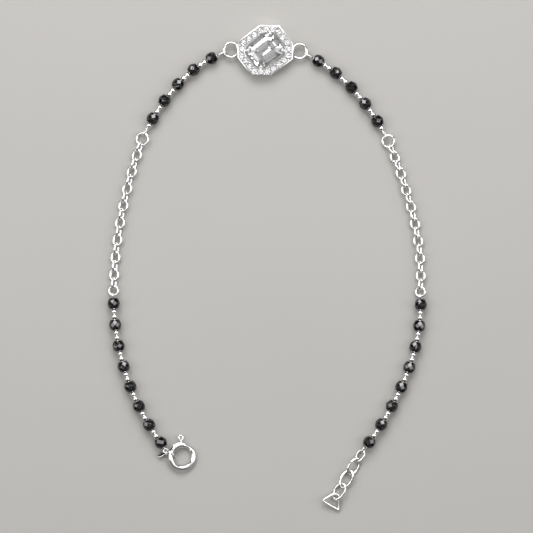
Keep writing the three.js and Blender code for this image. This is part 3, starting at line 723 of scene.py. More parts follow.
def pave_places(halo, pave, shift):
    """Centres and headings along the band's middle, one for each small stone.

    Shift is 0.5 at the stones themselves and 1 at the gaps between them.
    """
    corners = [Vector(corner) for corner in halo_outline(halo, 0.5)]
    sides = list(zip(corners, corners[1:] + corners[:1]))
    pitch = sum((b - a).length for a, b in sides) / pave.count

    def place(distance):
        for a, b in sides:
            side = b - a
            if distance <= side.length:
                return a + side * distance / side.length, atan2(side.y, side.x)
            distance -= side.length

    return [place((i + shift) % pave.count * pitch) for i in range(pave.count)]


def halo_band(halo):
    """Band with a raised rim at its outer edge and a lower lip at its inner one."""
    bed, rim_top = halo.height, halo.height + halo.rim_height
    rim = halo.rim_width / halo.square_band
    lip_top = bed + halo.lip_height
    section = [  # inset as a share of the band, and height, once round with softened edges
        (0.03, 0.0), (0.0, 0.05), (0.0, rim_top - 0.05), (0.012, rim_top - 0.015),
        (0.035, rim_top), (rim - 0.02, rim_top), (rim, rim_top - 0.03), (rim + 0.01, bed),
        (0.86, bed), (0.87, lip_top - 0.02), (0.89, lip_top), (0.97, lip_top),
        (0.99, lip_top - 0.015), (1.0, lip_top - 0.05), (1.0, 0.05), (0.97, 0.0)]
    rows = [[(x, y, height) for x, y in halo_outline(halo, inset)] for inset, height in section]
    return skin(rows, closed=True)


def turned_form(x, y, profile, sides):
    """Solid turned about an upright axis, from levels and radii."""
    rows = [
        [(x + u, y + v, level) for u, v in circle(radius, sides)] for level, radius in profile]
    return skin(rows, capped=True)


SEAT_SIDES = 20
SEAT_PROFILE = (  # rise above the bed, and radius as a share of the stone's diameter
    (0.3, 0.5), (0.03, 0.5), (0.0, 0.5), (-0.36, 0.2), (-0.6, 0.2))


def seat_cutter(halo, pave):
    """Conical seats for the small stones, joined as one cutter."""
    cutter = Form()
    profile = [(halo.height + rise, pave.diameter * share) for rise, share in SEAT_PROFILE]
    for centre, _ in pave_places(halo, pave, 0.5):
        cutter.add(turned_form(centre.x, centre.y, profile, SEAT_SIDES))
    return cutter


def cut_away(form, cutter):
    """The form less the cutter."""
    objects = []
    for part in (form, cutter):
        whole = bpy.data.objects.new("cutting", part.mesh("cutting"))
        bpy.context.collection.objects.link(whole)
        objects.append(whole)
    body, tool = objects
    boolean = body.modifiers.new("cut", "BOOLEAN")
    boolean.operation = "DIFFERENCE"
    boolean.solver = "EXACT"
    boolean.object = tool
    evaluated = body.evaluated_get(bpy.context.evaluated_depsgraph_get())
    bm = bmesh.new()
    bm.from_mesh(evaluated.to_mesh())
    evaluated.to_mesh_clear()
    for whole in objects:
        mesh = whole.data
        bpy.data.objects.remove(whole)
        bpy.data.meshes.remove(mesh)
    return form_of(bm)


GRAIN_REACH = 0.36       # from the band's middle to a grain, on each side
GRAIN_SINK = 0.02        # foot of a grain below the bed
GRAIN_STEPS, GRAIN_SIDES = 5, 10


def grains(halo, pave):
    """Raised grains of metal, one at each side of the gap between two small stones."""
    form = Form()
    radius, foot = pave.grain / 2, halo.height - GRAIN_SINK
    turns = [k / GRAIN_STEPS * pi / 2 for k in range(GRAIN_STEPS)]
    dome = [(foot + radius * sin(turn), radius * cos(turn)) for turn in turns]
    for centre, heading in pave_places(halo, pave, 1):
        for reach in (-GRAIN_REACH, GRAIN_REACH):
            x = centre.x - reach * sin(heading)
            y = centre.y + reach * cos(heading)
            form.add(turned_form(x, y, dome, GRAIN_SIDES))
    return form


CLAW_SIDES = 20
CLAW_SHANK = (  # height, radius as a share of the shank's, and share of the lean
    (0.2, 1.0, 0.0), (2.3, 1.0, 0.0), (2.5, 1.0, 0.1), (2.64, 1.08, 0.4))
CLAW_HEAD = (  # depth below the top, radius as a share of the head's, and share of the lean
    (0.435, 0.93, 0.8), (0.325, 1.0, 1.0), (0.225, 0.96, 1.0), (0.135, 0.82, 1.0),
    (0.065, 0.6, 1.0), (0.025, 0.38, 1.0), (0.0, 0.12, 1.0))


def claw(stone, sign_along, sign_across):
    """Round claw: a straight shank, then a head that leans in over the cut corner."""
    shank, head = stone.claw / 2, stone.claw_head / 2
    profile = [(height, shank * share, lean) for height, share, lean in CLAW_SHANK]
    profile += [(stone.claw_top - depth, head * share, lean) for depth, share, lean in CLAW_HEAD]
    rows = []
    for height, radius, lean in profile:
        along = (stone.claw_along - lean * stone.claw_lean) * sign_along
        across = (stone.claw_across - lean * stone.claw_lean) * sign_across
        rows.append([(along + x, across + y, height) for x, y in circle(radius, CLAW_SIDES)])
    return skin(rows, capped=True)


def cut_rectangle(stone, inset):
    """Outline of the centre stone, a rectangle with cut corners, moved inward."""
    x, y = stone.length / 2 - inset, stone.width / 2 - inset
    cut = min(stone.corner, y * stone.corner * 2 / stone.width)
    quarter = [(x, y - cut), (x - cut, y)]
    return [
        *quarter, *[(-u, v) for u, v in reversed(quarter)],
        *[(-u, -v) for u, v in quarter], *[(u, -v) for u, v in reversed(quarter)]]


RAIL_INSET = (0.04, 0.36)    # outer and inner edge of the rail, in from the stone's outline
RAIL_LEVEL = (1.28, 1.62)    # underside and top of the rail
RAIL_EDGE = 0.06
SEAT_INSET = 0.96            # edge of the seat's plate, as a share of the way across the band
SEAT_BOTTOM = 0.02
SEAT_EDGE = 0.05
OPEN_BACK = (1.8, 1.3)       # half the length and half the width of the opening in the seat


def gallery(halo, stone):
    """Rail under the girdle and the plate below it, with an open back."""
    outer, inner = [cut_rectangle(stone, inset) for inset in RAIL_INSET]
    rail = plate([outer, list(reversed(inner))], *RAIL_LEVEL, RAIL_EDGE)
    x, y = OPEN_BACK
    opening = turned([(-x, -y), (-x, y), (x, y), (x, -y)], halo.slant)
    floor = plate([halo_outline(halo, SEAT_INSET), opening], SEAT_BOTTOM, halo.seat, SEAT_EDGE)
    return rail.moved(Matrix.Rotation(halo.slant, 4, "Z")).add(floor)


def halo_setting(size):
    """The whole setting, turned as the centrepiece lies."""
    halo, pave, stone = size.halo, size.pave, size.stone
    form = cut_away(halo_band(halo), seat_cutter(halo, pave))
    form.add(grains(halo, pave)).add(gallery(halo, stone))
    for signs in ((1, 1), (-1, 1), (-1, -1), (1, -1)):
        form.add(claw(stone, *signs).moved(Matrix.Rotation(halo.slant, 4, "Z")))
    for sign in (-1, 1):
        at = Matrix.Translation((sign * halo.ring_offset, 0, halo.ring_level))
        form.add(ring(halo.ring, halo.ring_wire).moved(at))
    return form.moved(Matrix.Rotation(halo.lie, 4, "Z"))


MAIN_FACETS = 8                        # round the crown, and round the pavilion
KITE_REACH, KITE_RISE = 1.02, 0.58     # past mid-way to the girdle, and share of the crown
MAIN_REACH, MAIN_FALL = 0.25, 0.76     # shares of the girdle's radius and of the pavilion
POINT_REACH = 0.02                     # share of the girdle's radius
PAVE_SINK = 0.03                       # underside of a small stone's girdle below the bed


def brilliant(pave):
    """Round stone of full cut: table, star, kite and girdle facets over a pointed pavilion."""
    outer, table = pave.diameter / 2, pave.table / 2
    half_step = pi / MAIN_FACETS
    points, rows = [], {}

    def row(name, radius, height, count, start=0.0):
        rows[name] = (len(points), count)
        points.extend((x, y, height) for x, y in circle(radius, count, start))

    def corner(name, i):
        first, count = rows[name]
        return first + i % count

    row("table", table, pave.girdle + pave.crown, MAIN_FACETS)
    kite_level = pave.girdle + pave.crown * KITE_RISE
    row("kite", (outer + table) / 2 * KITE_REACH, kite_level, MAIN_FACETS, half_step)
    row("upper", outer, pave.girdle, 2 * MAIN_FACETS)
    row("lower", outer, 0.0, 2 * MAIN_FACETS)
    row("main", outer * MAIN_REACH, -pave.pavilion * MAIN_FALL, MAIN_FACETS, half_step)
    row("point", outer * POINT_REACH, -pave.pavilion, MAIN_FACETS)
    faces = [tuple(corner("table", i) for i in range(MAIN_FACETS))]
    for i in range(MAIN_FACETS):
        table, next_table = corner("table", i), corner("table", i + 1)
        kite_before, kite = corner("kite", i - 1), corner("kite", i)
        first, middle, last = [corner("upper", 2 * i + k) for k in range(3)]
        faces += [
            (table, kite, next_table), (table, kite_before, first, kite),
            (kite, first, middle), (kite, middle, last)]
        main_before, main_here = corner("main", i - 1), corner("main", i)
        point, next_point = corner("point", i), corner("point", i + 1)
        first, middle, last = [corner("lower", 2 * i + k) for k in range(3)]
        faces += [
            (first, main_here, middle), (middle, main_here, last),
            (first, main_before, point, main_here), (main_here, point, next_point)]
    for i in range(2 * MAIN_FACETS):
        edge = [corner("upper", i), corner("upper", i + 1)]
        faces.append((*edge, corner("lower", i + 1), corner("lower", i)))
    faces.append(tuple(corner("point", i) for i in range(MAIN_FACETS)))
    return Form(points, faces)


def pave_stones(size):
    """The small stones, each turned with the band beside it."""
    form = Form()
    stone = brilliant(size.pave)
    level = size.halo.height - PAVE_SINK
    for centre, heading in pave_places(size.halo, size.pave, 0.5):
        at = Matrix.Translation((centre.x, centre.y, level)) @ Matrix.Rotation(heading, 4, "Z")
        form.add(stone.moved(at))
    return form.moved(Matrix.Rotation(size.halo.lie, 4, "Z"))


STONE_STEPS = (  # inset from the girdle and rise from its underside, from the keel up
    (2.15, -2.0), (1.45, -1.45), (0.65, -0.72), (0.0, 0.0), (0.0, 0.08), (0.5, 0.42),
    (1.05, 0.62))


def centre_stone(size):
    """Step-cut stone: rows of long flat facets above and below the girdle."""
    rows = []
    for inset, rise in STONE_STEPS:
        level = size.stone.girdle + rise
        rows.append([(x, y, level) for x, y in cut_rectangle(size.stone, inset)])
    turn = size.halo.slant + size.halo.lie
    return skin(rows, capped=True).moved(Matrix.Rotation(turn, 4, "Z"))


class BRACELET_OT_halo_setting(Operator):
    """Build the soldered silver setting, with its grains, claws and side rings"""
    bl_idname = "bracelet.halo_setting"
    bl_label = "Halo Setting"

    def execute(self, context):
        form = halo_setting(all_sizes(context))
        add_piece("halo_setting", form, "silver")
        return {"FINISHED"}


class BRACELET_OT_pave_stones(Operator):
    """Set the small round stones in the halo"""
    bl_idname = "bracelet.pave_stones"
    bl_label = "Small Stones"

    def execute(self, context):
        form = pave_stones(all_sizes(context))
        add_piece("pave_stones", form, "clear_stone", replaces=False)
        return {"FINISHED"}


class BRACELET_OT_centre_stone(Operator):
    """Build the step-cut centre stone"""
    bl_idname = "bracelet.centre_stone"
    bl_label = "Centre Stone"

    def execute(self, context):
        form = centre_stone(all_sizes(context))
        add_piece("centre_stone", form, "clear_stone")
        return {"FINISHED"}


# ---- beads and strings ---------------------------------------------------------------------

ROLL_SEED = 8


def cut_bead(bead):
    """Bead along X with three staggered rows of rhombic facets, softened edges and a bore."""
    count = bead.facets
    half_step = pi / count
    middle = bead.diameter / 2
    shoulder = middle * cos(half_step)
    fall = (middle - shoulder * cos(half_step)) / bead.shoulder
    end = middle - fall * bead.length / 2
    half = bead.length / 2
    bm = bmesh.new()

    def row(x, radius, number, start):
        return [bm.verts.new((x, u, v)) for u, v in circle(radius, number, start)]

    rows = [
        row(-half, end, count, 0.0), row(-bead.shoulder, shoulder, count, half_step),
        row(0.0, middle, count, 0.0), row(bead.shoulder, shoulder, count, half_step),
        row(half, end, count, 0.0)]
    near, low, mid, high, far = rows
    bores = [row(x, bead.bore / 2, 2 * count, 0.0) for x in (-half, half)]
    outer = {vertex for line in rows for vertex in line}
    for k in range(count):
        j, before = (k + 1) % count, k - 1
        bm.faces.new((near[k], low[before], mid[k], low[k]))
        bm.faces.new((low[k], mid[k], high[k], mid[j]))
        bm.faces.new((mid[k], high[before], far[k], high[k]))
        for end_row, side_row, bore in ((near, low, bores[0]), (far, high, bores[1])):
            first, second, third = bore[2 * k], bore[2 * k + 1], bore[(2 * k + 2) % len(bore)]
            bm.faces.new((end_row[k], end_row[j], side_row[k]))
            bm.faces.new((end_row[k], first, second))
            bm.faces.new((end_row[k], second, end_row[j]))
            bm.faces.new((end_row[j], second, third))
    for i in range(2 * count):
        j = (i + 1) % (2 * count)
        bm.faces.new((bores[0][i], bores[0][j], bores[1][j], bores[1][i]))
    bmesh.ops.recalc_face_normals(bm, faces=bm.faces)
    edges = [edge for edge in bm.edges if set(edge.verts) <= outer]
    bmesh.ops.bevel(
        bm, geom=edges, offset=bead.softening, segments=1, profile=0.5, affect="EDGES",
        clamp_overlap=True)
    return form_of(bm)


class BRACELET_OT_black_beads(Operator):
    """Thread the cut black beads, each rolled a little differently on its wire"""
    bl_idname = "bracelet.black_beads"
    bl_label = "Black Beads"

    def execute(self, context):
        size = all_sizes(context)
        marks = marks_of(size)
        bead = cut_bead(size.bead)
        roll = random.Random(ROLL_SEED)
        for side in SIDES:
            course = course_of(side, size)
            for i, distance in enumerate(marks.upper + marks.lower):
                name = f"bead_{side}_{i + 1:02d}"
                turn = roll.uniform(0, 2 * pi / size.bead.facets)
                form = bead.moved(course.frame_at(distance, turn))
                add_piece(name, form, "black_stone")
        return {"FINISHED"}


SILVER_STEPS = 12        # along a silver bead
SILVER_SIDES = 24        # round it, and round the wire that it sits on


def silver_bead_profile(bead, centre):
    """Distances and radii from one flat end of a round bead to the other."""
    radius, flat = bead.silver / 2, bead.silver_end / 2
    limit = pi / 2 - asin(flat / radius)
    stretch = bead.silver_length / 2 / sin(limit)
    turns = [limit * (2 * k / SILVER_STEPS - 1) for k in range(SILVER_STEPS + 1)]
    return [(centre + stretch * sin(turn), radius * cos(turn)) for turn in turns]


def string_core(course, size, start, end, silver_at):
    """Beading wire with the silver beads on it."""
    bead, wire = size.bead, size.string.wire / 2
    profile = [(start, wire)]
    for centre in silver_at:
        swelling = silver_bead_profile(bead, centre)
        first, last = swelling[0][0], swelling[-1][0]
        profile += [(first, wire), *swelling, (last, wire)]
    profile.append((end, wire))
    rows = []
    for distance, radius in profile:
        here = course.frame_at(distance)
        rows.append([here @ Vector((0, u, v)) for u, v in circle(radius, SILVER_SIDES)])
    return skin(rows, capped=True)


EYE_BENDS = 32
EYE_TILT = {  # turn of each eye about the course
    "side_ring": radians(90), "upper_ring": radians(-74), "lower_ring": radians(-68),
    "extension": radians(-58), "clasp": 0.0}


def eye(course, string, start, end, width, tilt):
    """Stadium-shaped wire eye between two distances."""
    run = end - start
    loop = link(run, width, string.eye_wire, straight=run - width, bends=EYE_BENDS)
    return loop.moved(course.frame_at((start + end) / 2, tilt))


def eye_around(string, wire_at, wire, other_end, tilt):
    """Start, end, width and tilt of an eye whose round end holds a wire across the course."""
    reach = wire / 2 + string.play + string.eye_wire
    width = (wire + 2 * string.play) / abs(sin(tilt)) + 2 * string.eye_wire
    if other_end < wire_at:
        return other_end, wire_at + reach, width, tilt
    return wire_at - reach, other_end, width, tilt


def string_eyes(side, size, marks):
    """Near and far eye of the upper string, then of the lower string."""
    halo, chain, string, clasp, extension = (
        size.halo, size.chain, size.string, size.clasp, size.extension)
    side_wire = (halo.ring - halo.ring_wire) / 2
    upper_wire = marks.upper_ring - (chain.upper_ring - chain.upper_wire) / 2
    lower_wire = marks.lower_ring + (chain.lower_ring - chain.lower_wire) / 2
    single = marks.upper[-1] + string.end_silver
    upper = (
        eye_around(string, side_wire, halo.ring_wire, marks.upper[0] - string.bead_end,
                   EYE_TILT["side_ring"]),
        eye_around(string, upper_wire, chain.upper_wire, single + string.silver_end,
                   EYE_TILT["upper_ring"]))
    start = eye_around(
        string, lower_wire, chain.lower_wire, marks.lower[0] - string.bead_end,
        EYE_TILT["lower_ring"])
    if side == "left":
        end = (
            marks.last + clasp.eye_from, marks.last + clasp.eye_to, clasp.eye_width,
            EYE_TILT["clasp"])
    else:
        first_length = EXTENSION_LINKS[0][0]
        link_wire = marks.last + extension.lead - (first_length - extension.wire) / 2
        end = eye_around(
            string, link_wire, extension.wire, marks.last + string.bead_end,
            EYE_TILT["extension"])
    return upper, (start, end)


def wire_string(course, size, beads, singles, eyes):
    """One string: its core between the two eyes, and the eyes."""
    string, bead = size.string, size.bead
    middles = [(a + b) / 2 for a, b in zip(beads, beads[1:])]
    pairs = [m + sign * bead.silver_length / 2 for m in middles for sign in (-1, 1)]
    near, far = eyes
    start, end = near[1] - string.eye_wire / 2, far[0] + string.eye_wire / 2
    form = string_core(course, size, start, end, sorted([*pairs, *singles]))
    for place in eyes:
        form.add(eye(course, string, *place))
    return form


class BRACELET_OT_strings(Operator):
    """Build the four wire strings, with their silver beads and end eyes"""
    bl_idname = "bracelet.strings"
    bl_label = "Strings"

    def execute(self, context):
        size = all_sizes(context)
        marks = marks_of(size)
        for side in SIDES:
            course = course_of(side, size)
            upper_eyes, lower_eyes = string_eyes(side, size, marks)
            single = marks.upper[-1] + size.string.end_silver
            rows = (
                (f"upper_string_{side}", marks.upper, [single], upper_eyes),
                (f"lower_string_{side}", marks.lower, [], lower_eyes))
            for name, beads, singles, eyes in rows:
                form = wire_string(course, size, beads, singles, eyes)
                add_piece(name, form, "silver")
        return {"FINISHED"}


# ---- chains --------------------------------------------------------------------------------

class BRACELET_OT_chains(Operator):
    """Build the two lengths of oval cable chain"""
    bl_idname = "bracelet.chains"
    bl_label = "Cable Chains"

    def execute(self, context):
        size = all_sizes(context)
        chain = size.chain
        first = marks_of(size).first_link
        oval = link(chain.length, chain.width, chain.wire, chain.straight)
        for side in SIDES:
            course = course_of(side, size)
            form = Form()
            for i in range(chain.links):
                tilt = chain.near_flat if i % 2 else chain.on_edge
                form.add(oval.moved(course.frame_at(first + i * chain.pitch, tilt)))
            add_piece(f"cable_chain_{side}", form, "silver")
        return {"FINISHED"}


class BRACELET_OT_chain_rings(Operator):
    """Build the round rings at the two ends of each chain"""
    bl_idname = "bracelet.chain_rings"
    bl_label = "Chain Rings"

    def execute(self, context):
        size = all_sizes(context)
        chain, marks = size.chain, marks_of(size)
        for side in SIDES:
            course = course_of(side, size)
            for name, at, diameter, wire in (
                    (f"upper_chain_ring_{side}", marks.upper_ring, chain.upper_ring,
                     chain.upper_wire),
                    (f"lower_chain_ring_{side}", marks.lower_ring, chain.lower_ring,
                     chain.lower_wire)):
                form = ring(diameter, wire).moved(course.frame_at(at, chain.ring_tilt))
                add_piece(name, form, "silver")
        return {"FINISHED"}


# ---- extension -----------------------------------------------------------------------------

EXTENSION_LINKS = (  # length, width, distance from the piece before, twist at its two ends
    (2.7, 1.96, 0.0, (38, 38)),
    (3.7, 2.45, 2.2, (-38, -31)),
    (3.9, 2.4, 2.69, (31, -31)),
    (3.56, 2.4, 2.54, (31, 31)))
WIDE_STEPS, CORNER_STEPS = 14, 8       # round the triangle's wide bend and its sharp corners


def rounded_corners(corners):
    """Bends (x, y, outward direction) round a closed outline of corners (x, y, radius, steps)."""
    bends = []
    for i, (x, y, bend, steps) in enumerate(corners):
        before, after = corners[i - 1], corners[(i + 1) % len(corners)]
        arriving = atan2(y - before[1], x - before[0])
        turn = (atan2(after[1] - y, after[0] - x) - arriving) % (2 * pi)
        inward = arriving + turn / 2 + pi / 2
        set_back = bend / cos(turn / 2)
        centre_x, centre_y = x + set_back * cos(inward), y + set_back * sin(inward)
        for k in range(steps + 1):
            outward = arriving - pi / 2 + turn * k / steps
            bends.append((
                centre_x + bend * cos(outward), centre_y + bend * sin(outward), outward))
    return bends


def triangle(extension):
    """Triangular link along X: a wide bend at the near end, then two sharp corners."""
    height, half = extension.side * cos(pi / 6), extension.side / 2
    corners = [
        (0.0, 0.0, extension.bend, WIDE_STEPS),
        (height, -half, extension.corner, CORNER_STEPS),
        (height, half, extension.corner, CORNER_STEPS)]
    return wire_loop(rounded_corners(corners), extension.triangle_wire)


class BRACELET_OT_extension(Operator):
    """Build the larger links and the triangle that end the right side"""
    bl_idname = "bracelet.extension"
    bl_label = "Extension"

    def execute(self, context):
        size = all_sizes(context)
        extension = size.extension
        course = course_of("right", size)
        distance = marks_of(size).last + extension.lead
        for i, (run, width, step, twist) in enumerate(EXTENSION_LINKS):
            distance += step
            ends = [radians(turn) for turn in twist]
            oval = link(run, width, extension.wire, twist=ends)
            form = oval.moved(course.frame_at(distance))
            add_piece(f"extension_link_{i + 1}", form, "silver")
        last_wire = distance + (run - extension.wire) / 2
        wires = (extension.wire + extension.triangle_wire) / 2
        start = last_wire - wires - extension.slack - extension.bend
        form = triangle(extension).moved(course.frame_at(start, extension.tilt))
        add_piece("end_triangle", form, "silver")
        return {"FINISHED"}


# ---- clasp ---------------------------------------------------------------------------------

CATCH = frame["joints"][0]


def clasp_pin():
    """Middle of the clasp on the catch's axis, measured as the forms are."""
    return Vector(CATCH["pos_m"]) / MM - origin()


def clasp_centre():
    """Middle of the clasp, brought down to the surface."""
    pin = clasp_pin()
    return Vector((pin.x, pin.y, 0.0))


def clasp_frame():
    """The clasp's frame: its Z is the catch's axis."""
    lean = asin(Vector(CATCH["axis"]).normalized().x)
    return Matrix.Translation(clasp_pin()) @ Matrix.Rotation(lean, 4, "Y")


def bent_row(bend, turn, section):
    """A section across a bar that is bent round Z, at a turn."""
    return [((bend + u) * cos(turn), (bend + u) * sin(turn), v) for u, v in section]


SECTION_STEP = radians(4)   # most that a bent bar turns from one section to the next


def spread(start, end):
    """Even turns from start to end, both included."""
    count = max(1, ceil((end - start) / SECTION_STEP))
    return [start + (end - start) * k / count for k in range(count + 1)]


TUBE_SIDES = 32
TUBE_LIP = 0.05          # how far the tube's two ends are drawn in
SLOT_MARGIN = 1e-6       # a turn this close to the slot's end belongs to the slot


def tube_rows(clasp, radius, section, places, lip_at=None):
    """Sections of the tube, drawn in a little at the place of a lip."""
    rows = []
    for place in places:
        here = radius - (TUBE_LIP if place == lip_at else 0.0)
        across = [(here * cos(turn), here * sin(turn)) for turn in section]
        rows.append(bent_row(clasp.bend, place, across))
    return rows


def hollow_part(clasp, section):
    """Outer and inner skin with the slot left open, then its walls, the mouth and the end."""
    slot_from = clasp.catch_at - clasp.slot_margin
    slot_to = clasp.catch_at + clasp.travel + clasp.slot_margin
    places = sorted({
        *spread(clasp.tube_from, slot_from), *spread(slot_from, slot_to),
        *spread(slot_to, clasp.bore_to)})
    slotted = [
        i for i, place in enumerate(places)
        if slot_from - SLOT_MARGIN <= place <= slot_to + SLOT_MARGIN]
    width = len(section)
    edges = (0, width - 1)
    form = Form()
    for radius, lip_at in ((clasp.tube / 2, places[0]), (clasp.bore / 2, None)):
        rows = tube_rows(clasp, radius, section, places, lip_at)
        faces = []
        for i in range(len(rows) - 1):
            for k in range(width - 1 if i in slotted[:-1] else width):
                a, b = i * width + k, i * width + (k + 1) % width
                faces.append((a, b, b + width, a + width))
        form.add(Form([point for row in rows for point in row], faces))
    between = [(k, (k + 1) % width) for k in range(width)]
    for i, j in zip(slotted, slotted[1:]):
        between += [(i * width + edge, j * width + edge) for edge in edges]
    between += [tuple(i * width + edge for edge in edges) for i in (slotted[0], slotted[-1])]
    inner = len(places) * width
    form.faces += [(a, b, b + inner, a + inner) for a, b in between]
    form.faces.append(tuple(range(2 * inner - width, 2 * inner)))
    return form


def clasp_tube(clasp):
    """Tube with softened ends, hollow where the bolt slides and solid beyond."""
    half_slot = asin(clasp.slot / clasp.tube)
    # The section starts and ends at the slot's two edges, which face outward
    section = [
        half_slot + (2 * pi - 2 * half_slot) * k / TUBE_SIDES for k in range(TUBE_SIDES + 1)]
    places = spread(clasp.bore_to, clasp.tube_to)
    rows = tube_rows(clasp, clasp.tube / 2, section, places, places[-1])
    solid_part = skin(rows)
    solid_part.faces.append(tuple(range((len(rows) - 1) * len(section), len(rows) * len(section))))
    return welded(hollow_part(clasp, section).add(solid_part))


BOLT_SIDES = 20
CUP_STEPS = 6
CUP_DEPTH = 0.7          # share of the bolt's radius
CUP_END = 0.02           # radius at the bottom of the cup
STEM_SIDES = 14
STEM_SPREAD = 1.1        # the stem's thickness, as a share of the neck's
STEM_FOOT = 0.3          # from the bolt's centreline to the stem's second section
CATCH_TAPER = 0.5        # near end of the catch's loop, as a share of its far end
CATCH_BENDS = 36


def clasp_bolt(clasp):
    """Curved bolt with a cupped tip, and its tear-shaped catch on a short stem."""
    radius = clasp.bolt / 2
    depth = radius / clasp.bend * CUP_DEPTH
    rows = []
    for k in range(CUP_STEPS):
        turn = k / CUP_STEPS * pi / 2
        section = circle(max(CUP_END, radius * sin(turn)), BOLT_SIDES)
        rows.append(bent_row(clasp.bend, clasp.bolt_tip + depth * (1 - sin(turn)), section))
    for turn in spread(clasp.bolt_tip + depth, clasp.bolt_tail):
        rows.append(bent_row(clasp.bend, turn, circle(radius, BOLT_SIDES)))
    stem_end = clasp.catch_from + clasp.catch_wire / 2
    stem_section = circle(clasp.catch_neck / 2 * STEM_SPREAD, STEM_SIDES)
    catch = skin([
        [(x, u, v) for u, v in stem_section]
        for x in (clasp.bend, clasp.bend + STEM_FOOT, stem_end)], capped=True)
    loop = link(
        clasp.catch_length, clasp.catch_width, clasp.catch_wire, taper=CATCH_TAPER,
        bends=CATCH_BENDS)
    catch.add(loop.moved(Matrix.Translation((clasp.catch_from + clasp.catch_length / 2, 0, 0))))
    return skin(rows, capped=True).add(catch.moved(Matrix.Rotation(clasp.catch_at, 4, "Z")))


class BRACELET_OT_clasp(Operator):
    """Build the hollow ring of the clasp and the bolt that slides in it"""
    bl_idname = "bracelet.clasp"
    bl_label = "Spring-Ring Clasp"

    def execute(self, context):
        clasp, at = all_sizes(context).clasp, clasp_frame()
        add_piece("clasp_ring", clasp_tube(clasp).moved(at), "silver")
        add_piece("clasp_bolt", clasp_bolt(clasp).moved(at), "silver", BOLT)
        return {"FINISHED"}


JUMP_RING_AT = (-2.08, 0.4)   # from the centre of the clasp
JUMP_RING_BENDS = 48


def jump_ring_frame(clasp):
    """The jump ring's own frame: X along its heading, Y up its lean."""
    rise = (clasp.ring - clasp.ring_wire) / 2 * cos(clasp.ring_lean) + clasp.ring_wire / 2
    return (
        Matrix.Translation((*JUMP_RING_AT, rise))
        @ Matrix.Rotation(clasp.ring_heading, 4, "Z")
        @ Matrix.Rotation(pi / 2 - clasp.ring_lean, 4, "X"))


TAG_EYELET = 0.48        # outer radius
TAG_HOLE, TAG_HOLE_SIDES = 0.3, 24
TAG_LEAF = (1.25, 0.9)   # length and width
TAG_WAIST = 0.2          # half the width between the eyelet and the leaf
TAG_TIP = 0.004          # half the width left at the two ends
TAG_EDGE = 0.06
TAG_STEPS = 28


def tag_outline(clasp):
    """Outline of the tag along X: a round eyelet at the origin, a waist and an oval leaf."""
    half_leaf, half_width = [value / 2 for value in TAG_LEAF]
    leaf_at = clasp.tag - TAG_EYELET - half_leaf
    start, end = -TAG_EYELET, leaf_at + half_leaf
    upper = []
    for k in range(TAG_STEPS + 1):
        x = (start + end) / 2 - (end - start) / 2 * cos(pi * k / TAG_STEPS)
        eyelet = max(0.0, TAG_EYELET ** 2 - x ** 2) ** 0.5
        leaf = half_width * max(0.0, 1 - ((x - leaf_at) / half_leaf) ** 2) ** 0.5
        waist = TAG_WAIST if 0 < x < leaf_at else 0.0
        upper.append((x, max(TAG_TIP, eyelet, leaf, waist)))
    return [(x, -y) for x, y in upper] + [(x, y) for x, y in reversed(upper)]


def plain_tag(clasp):
    """The tag, lying flat, with the middle of its hole at the origin."""
    half = clasp.tag_thickness / 2
    hole = list(reversed(circle(TAG_HOLE, TAG_HOLE_SIDES)))
    return plate([tag_outline(clasp), hole], -half, half, TAG_EDGE)


class BRACELET_OT_jump_ring(Operator):
    """Build the jump ring that joins the clasp, the left string and the tag"""
    bl_idname = "bracelet.jump_ring"
    bl_label = "Jump Ring"

    def execute(self, context):
        clasp = all_sizes(context).clasp
        at = Matrix.Translation(clasp_centre()) @ jump_ring_frame(clasp)
        form = ring(clasp.ring, clasp.ring_wire, JUMP_RING_BENDS).moved(at)
        add_piece("clasp_jump_ring", form, "silver")
        return {"FINISHED"}


class BRACELET_OT_tag(Operator):
    """Build the small plain tag that hangs beside the clasp"""
    bl_idname = "bracelet.tag"
    bl_label = "Plain Tag"

    def execute(self, context):
        clasp = all_sizes(context).clasp
        hang = pi + clasp.tag_at
        radius = (clasp.ring - clasp.ring_wire) / 2
        spot = jump_ring_frame(clasp) @ Vector((radius * cos(hang), radius * sin(hang), 0))
        at = (
            Matrix.Translation(clasp_centre() + spot)
            @ Matrix.Rotation(clasp.tag_heading, 4, "Z")
            @ Matrix.Rotation(clasp.tag_tilt, 4, "X"))
        add_piece("clasp_tag", plain_tag(clasp).moved(at), "silver")
        return {"FINISHED"}


# ---- stage ---------------------------------------------------------------------------------

MOTTLE = 0.97            # the floor's darker patches, as a share of its colour
FLOOR_GAP = 0.01         # from the lowest solid down to the floor
SOFTBOXES = (  # name, place, width and depth in metres, and watts
    ("key", (-0.02, 0.3, 0.34), (0.42, 0.24), 2.4),
    ("left", (-0.32, 0.0, 0.36), (0.28, 0.44), 1.25),
    ("right", (0.32, 0.0, 0.36), (0.28, 0.44), 1.25))
TENT = (  # height of a direction, and the grey that it shows
    (0.0, 0.03), (0.22, 0.03), (0.3, 0.18), (0.9, 0.18), (0.96, 0.42))


def floor_nodes(tree, place, pale):
    """Matt pale card, with a faint mottle."""
    mottle = add_node(tree, "ShaderNodeTexNoise", inputs={
        "Vector": place, "Scale": per_metre(30), "Detail": 2.0}).outputs["Fac"]
    darker = (*[value * MOTTLE for value in pale[:3]], 1.0)
    return add_node(tree, "ShaderNodeBsdfPrincipled", inputs={
        "Base Color": two_tones(tree, mottle, pale, darker), "Roughness": 0.7,
        "Specular IOR Level": 0.25}).outputs["BSDF"]


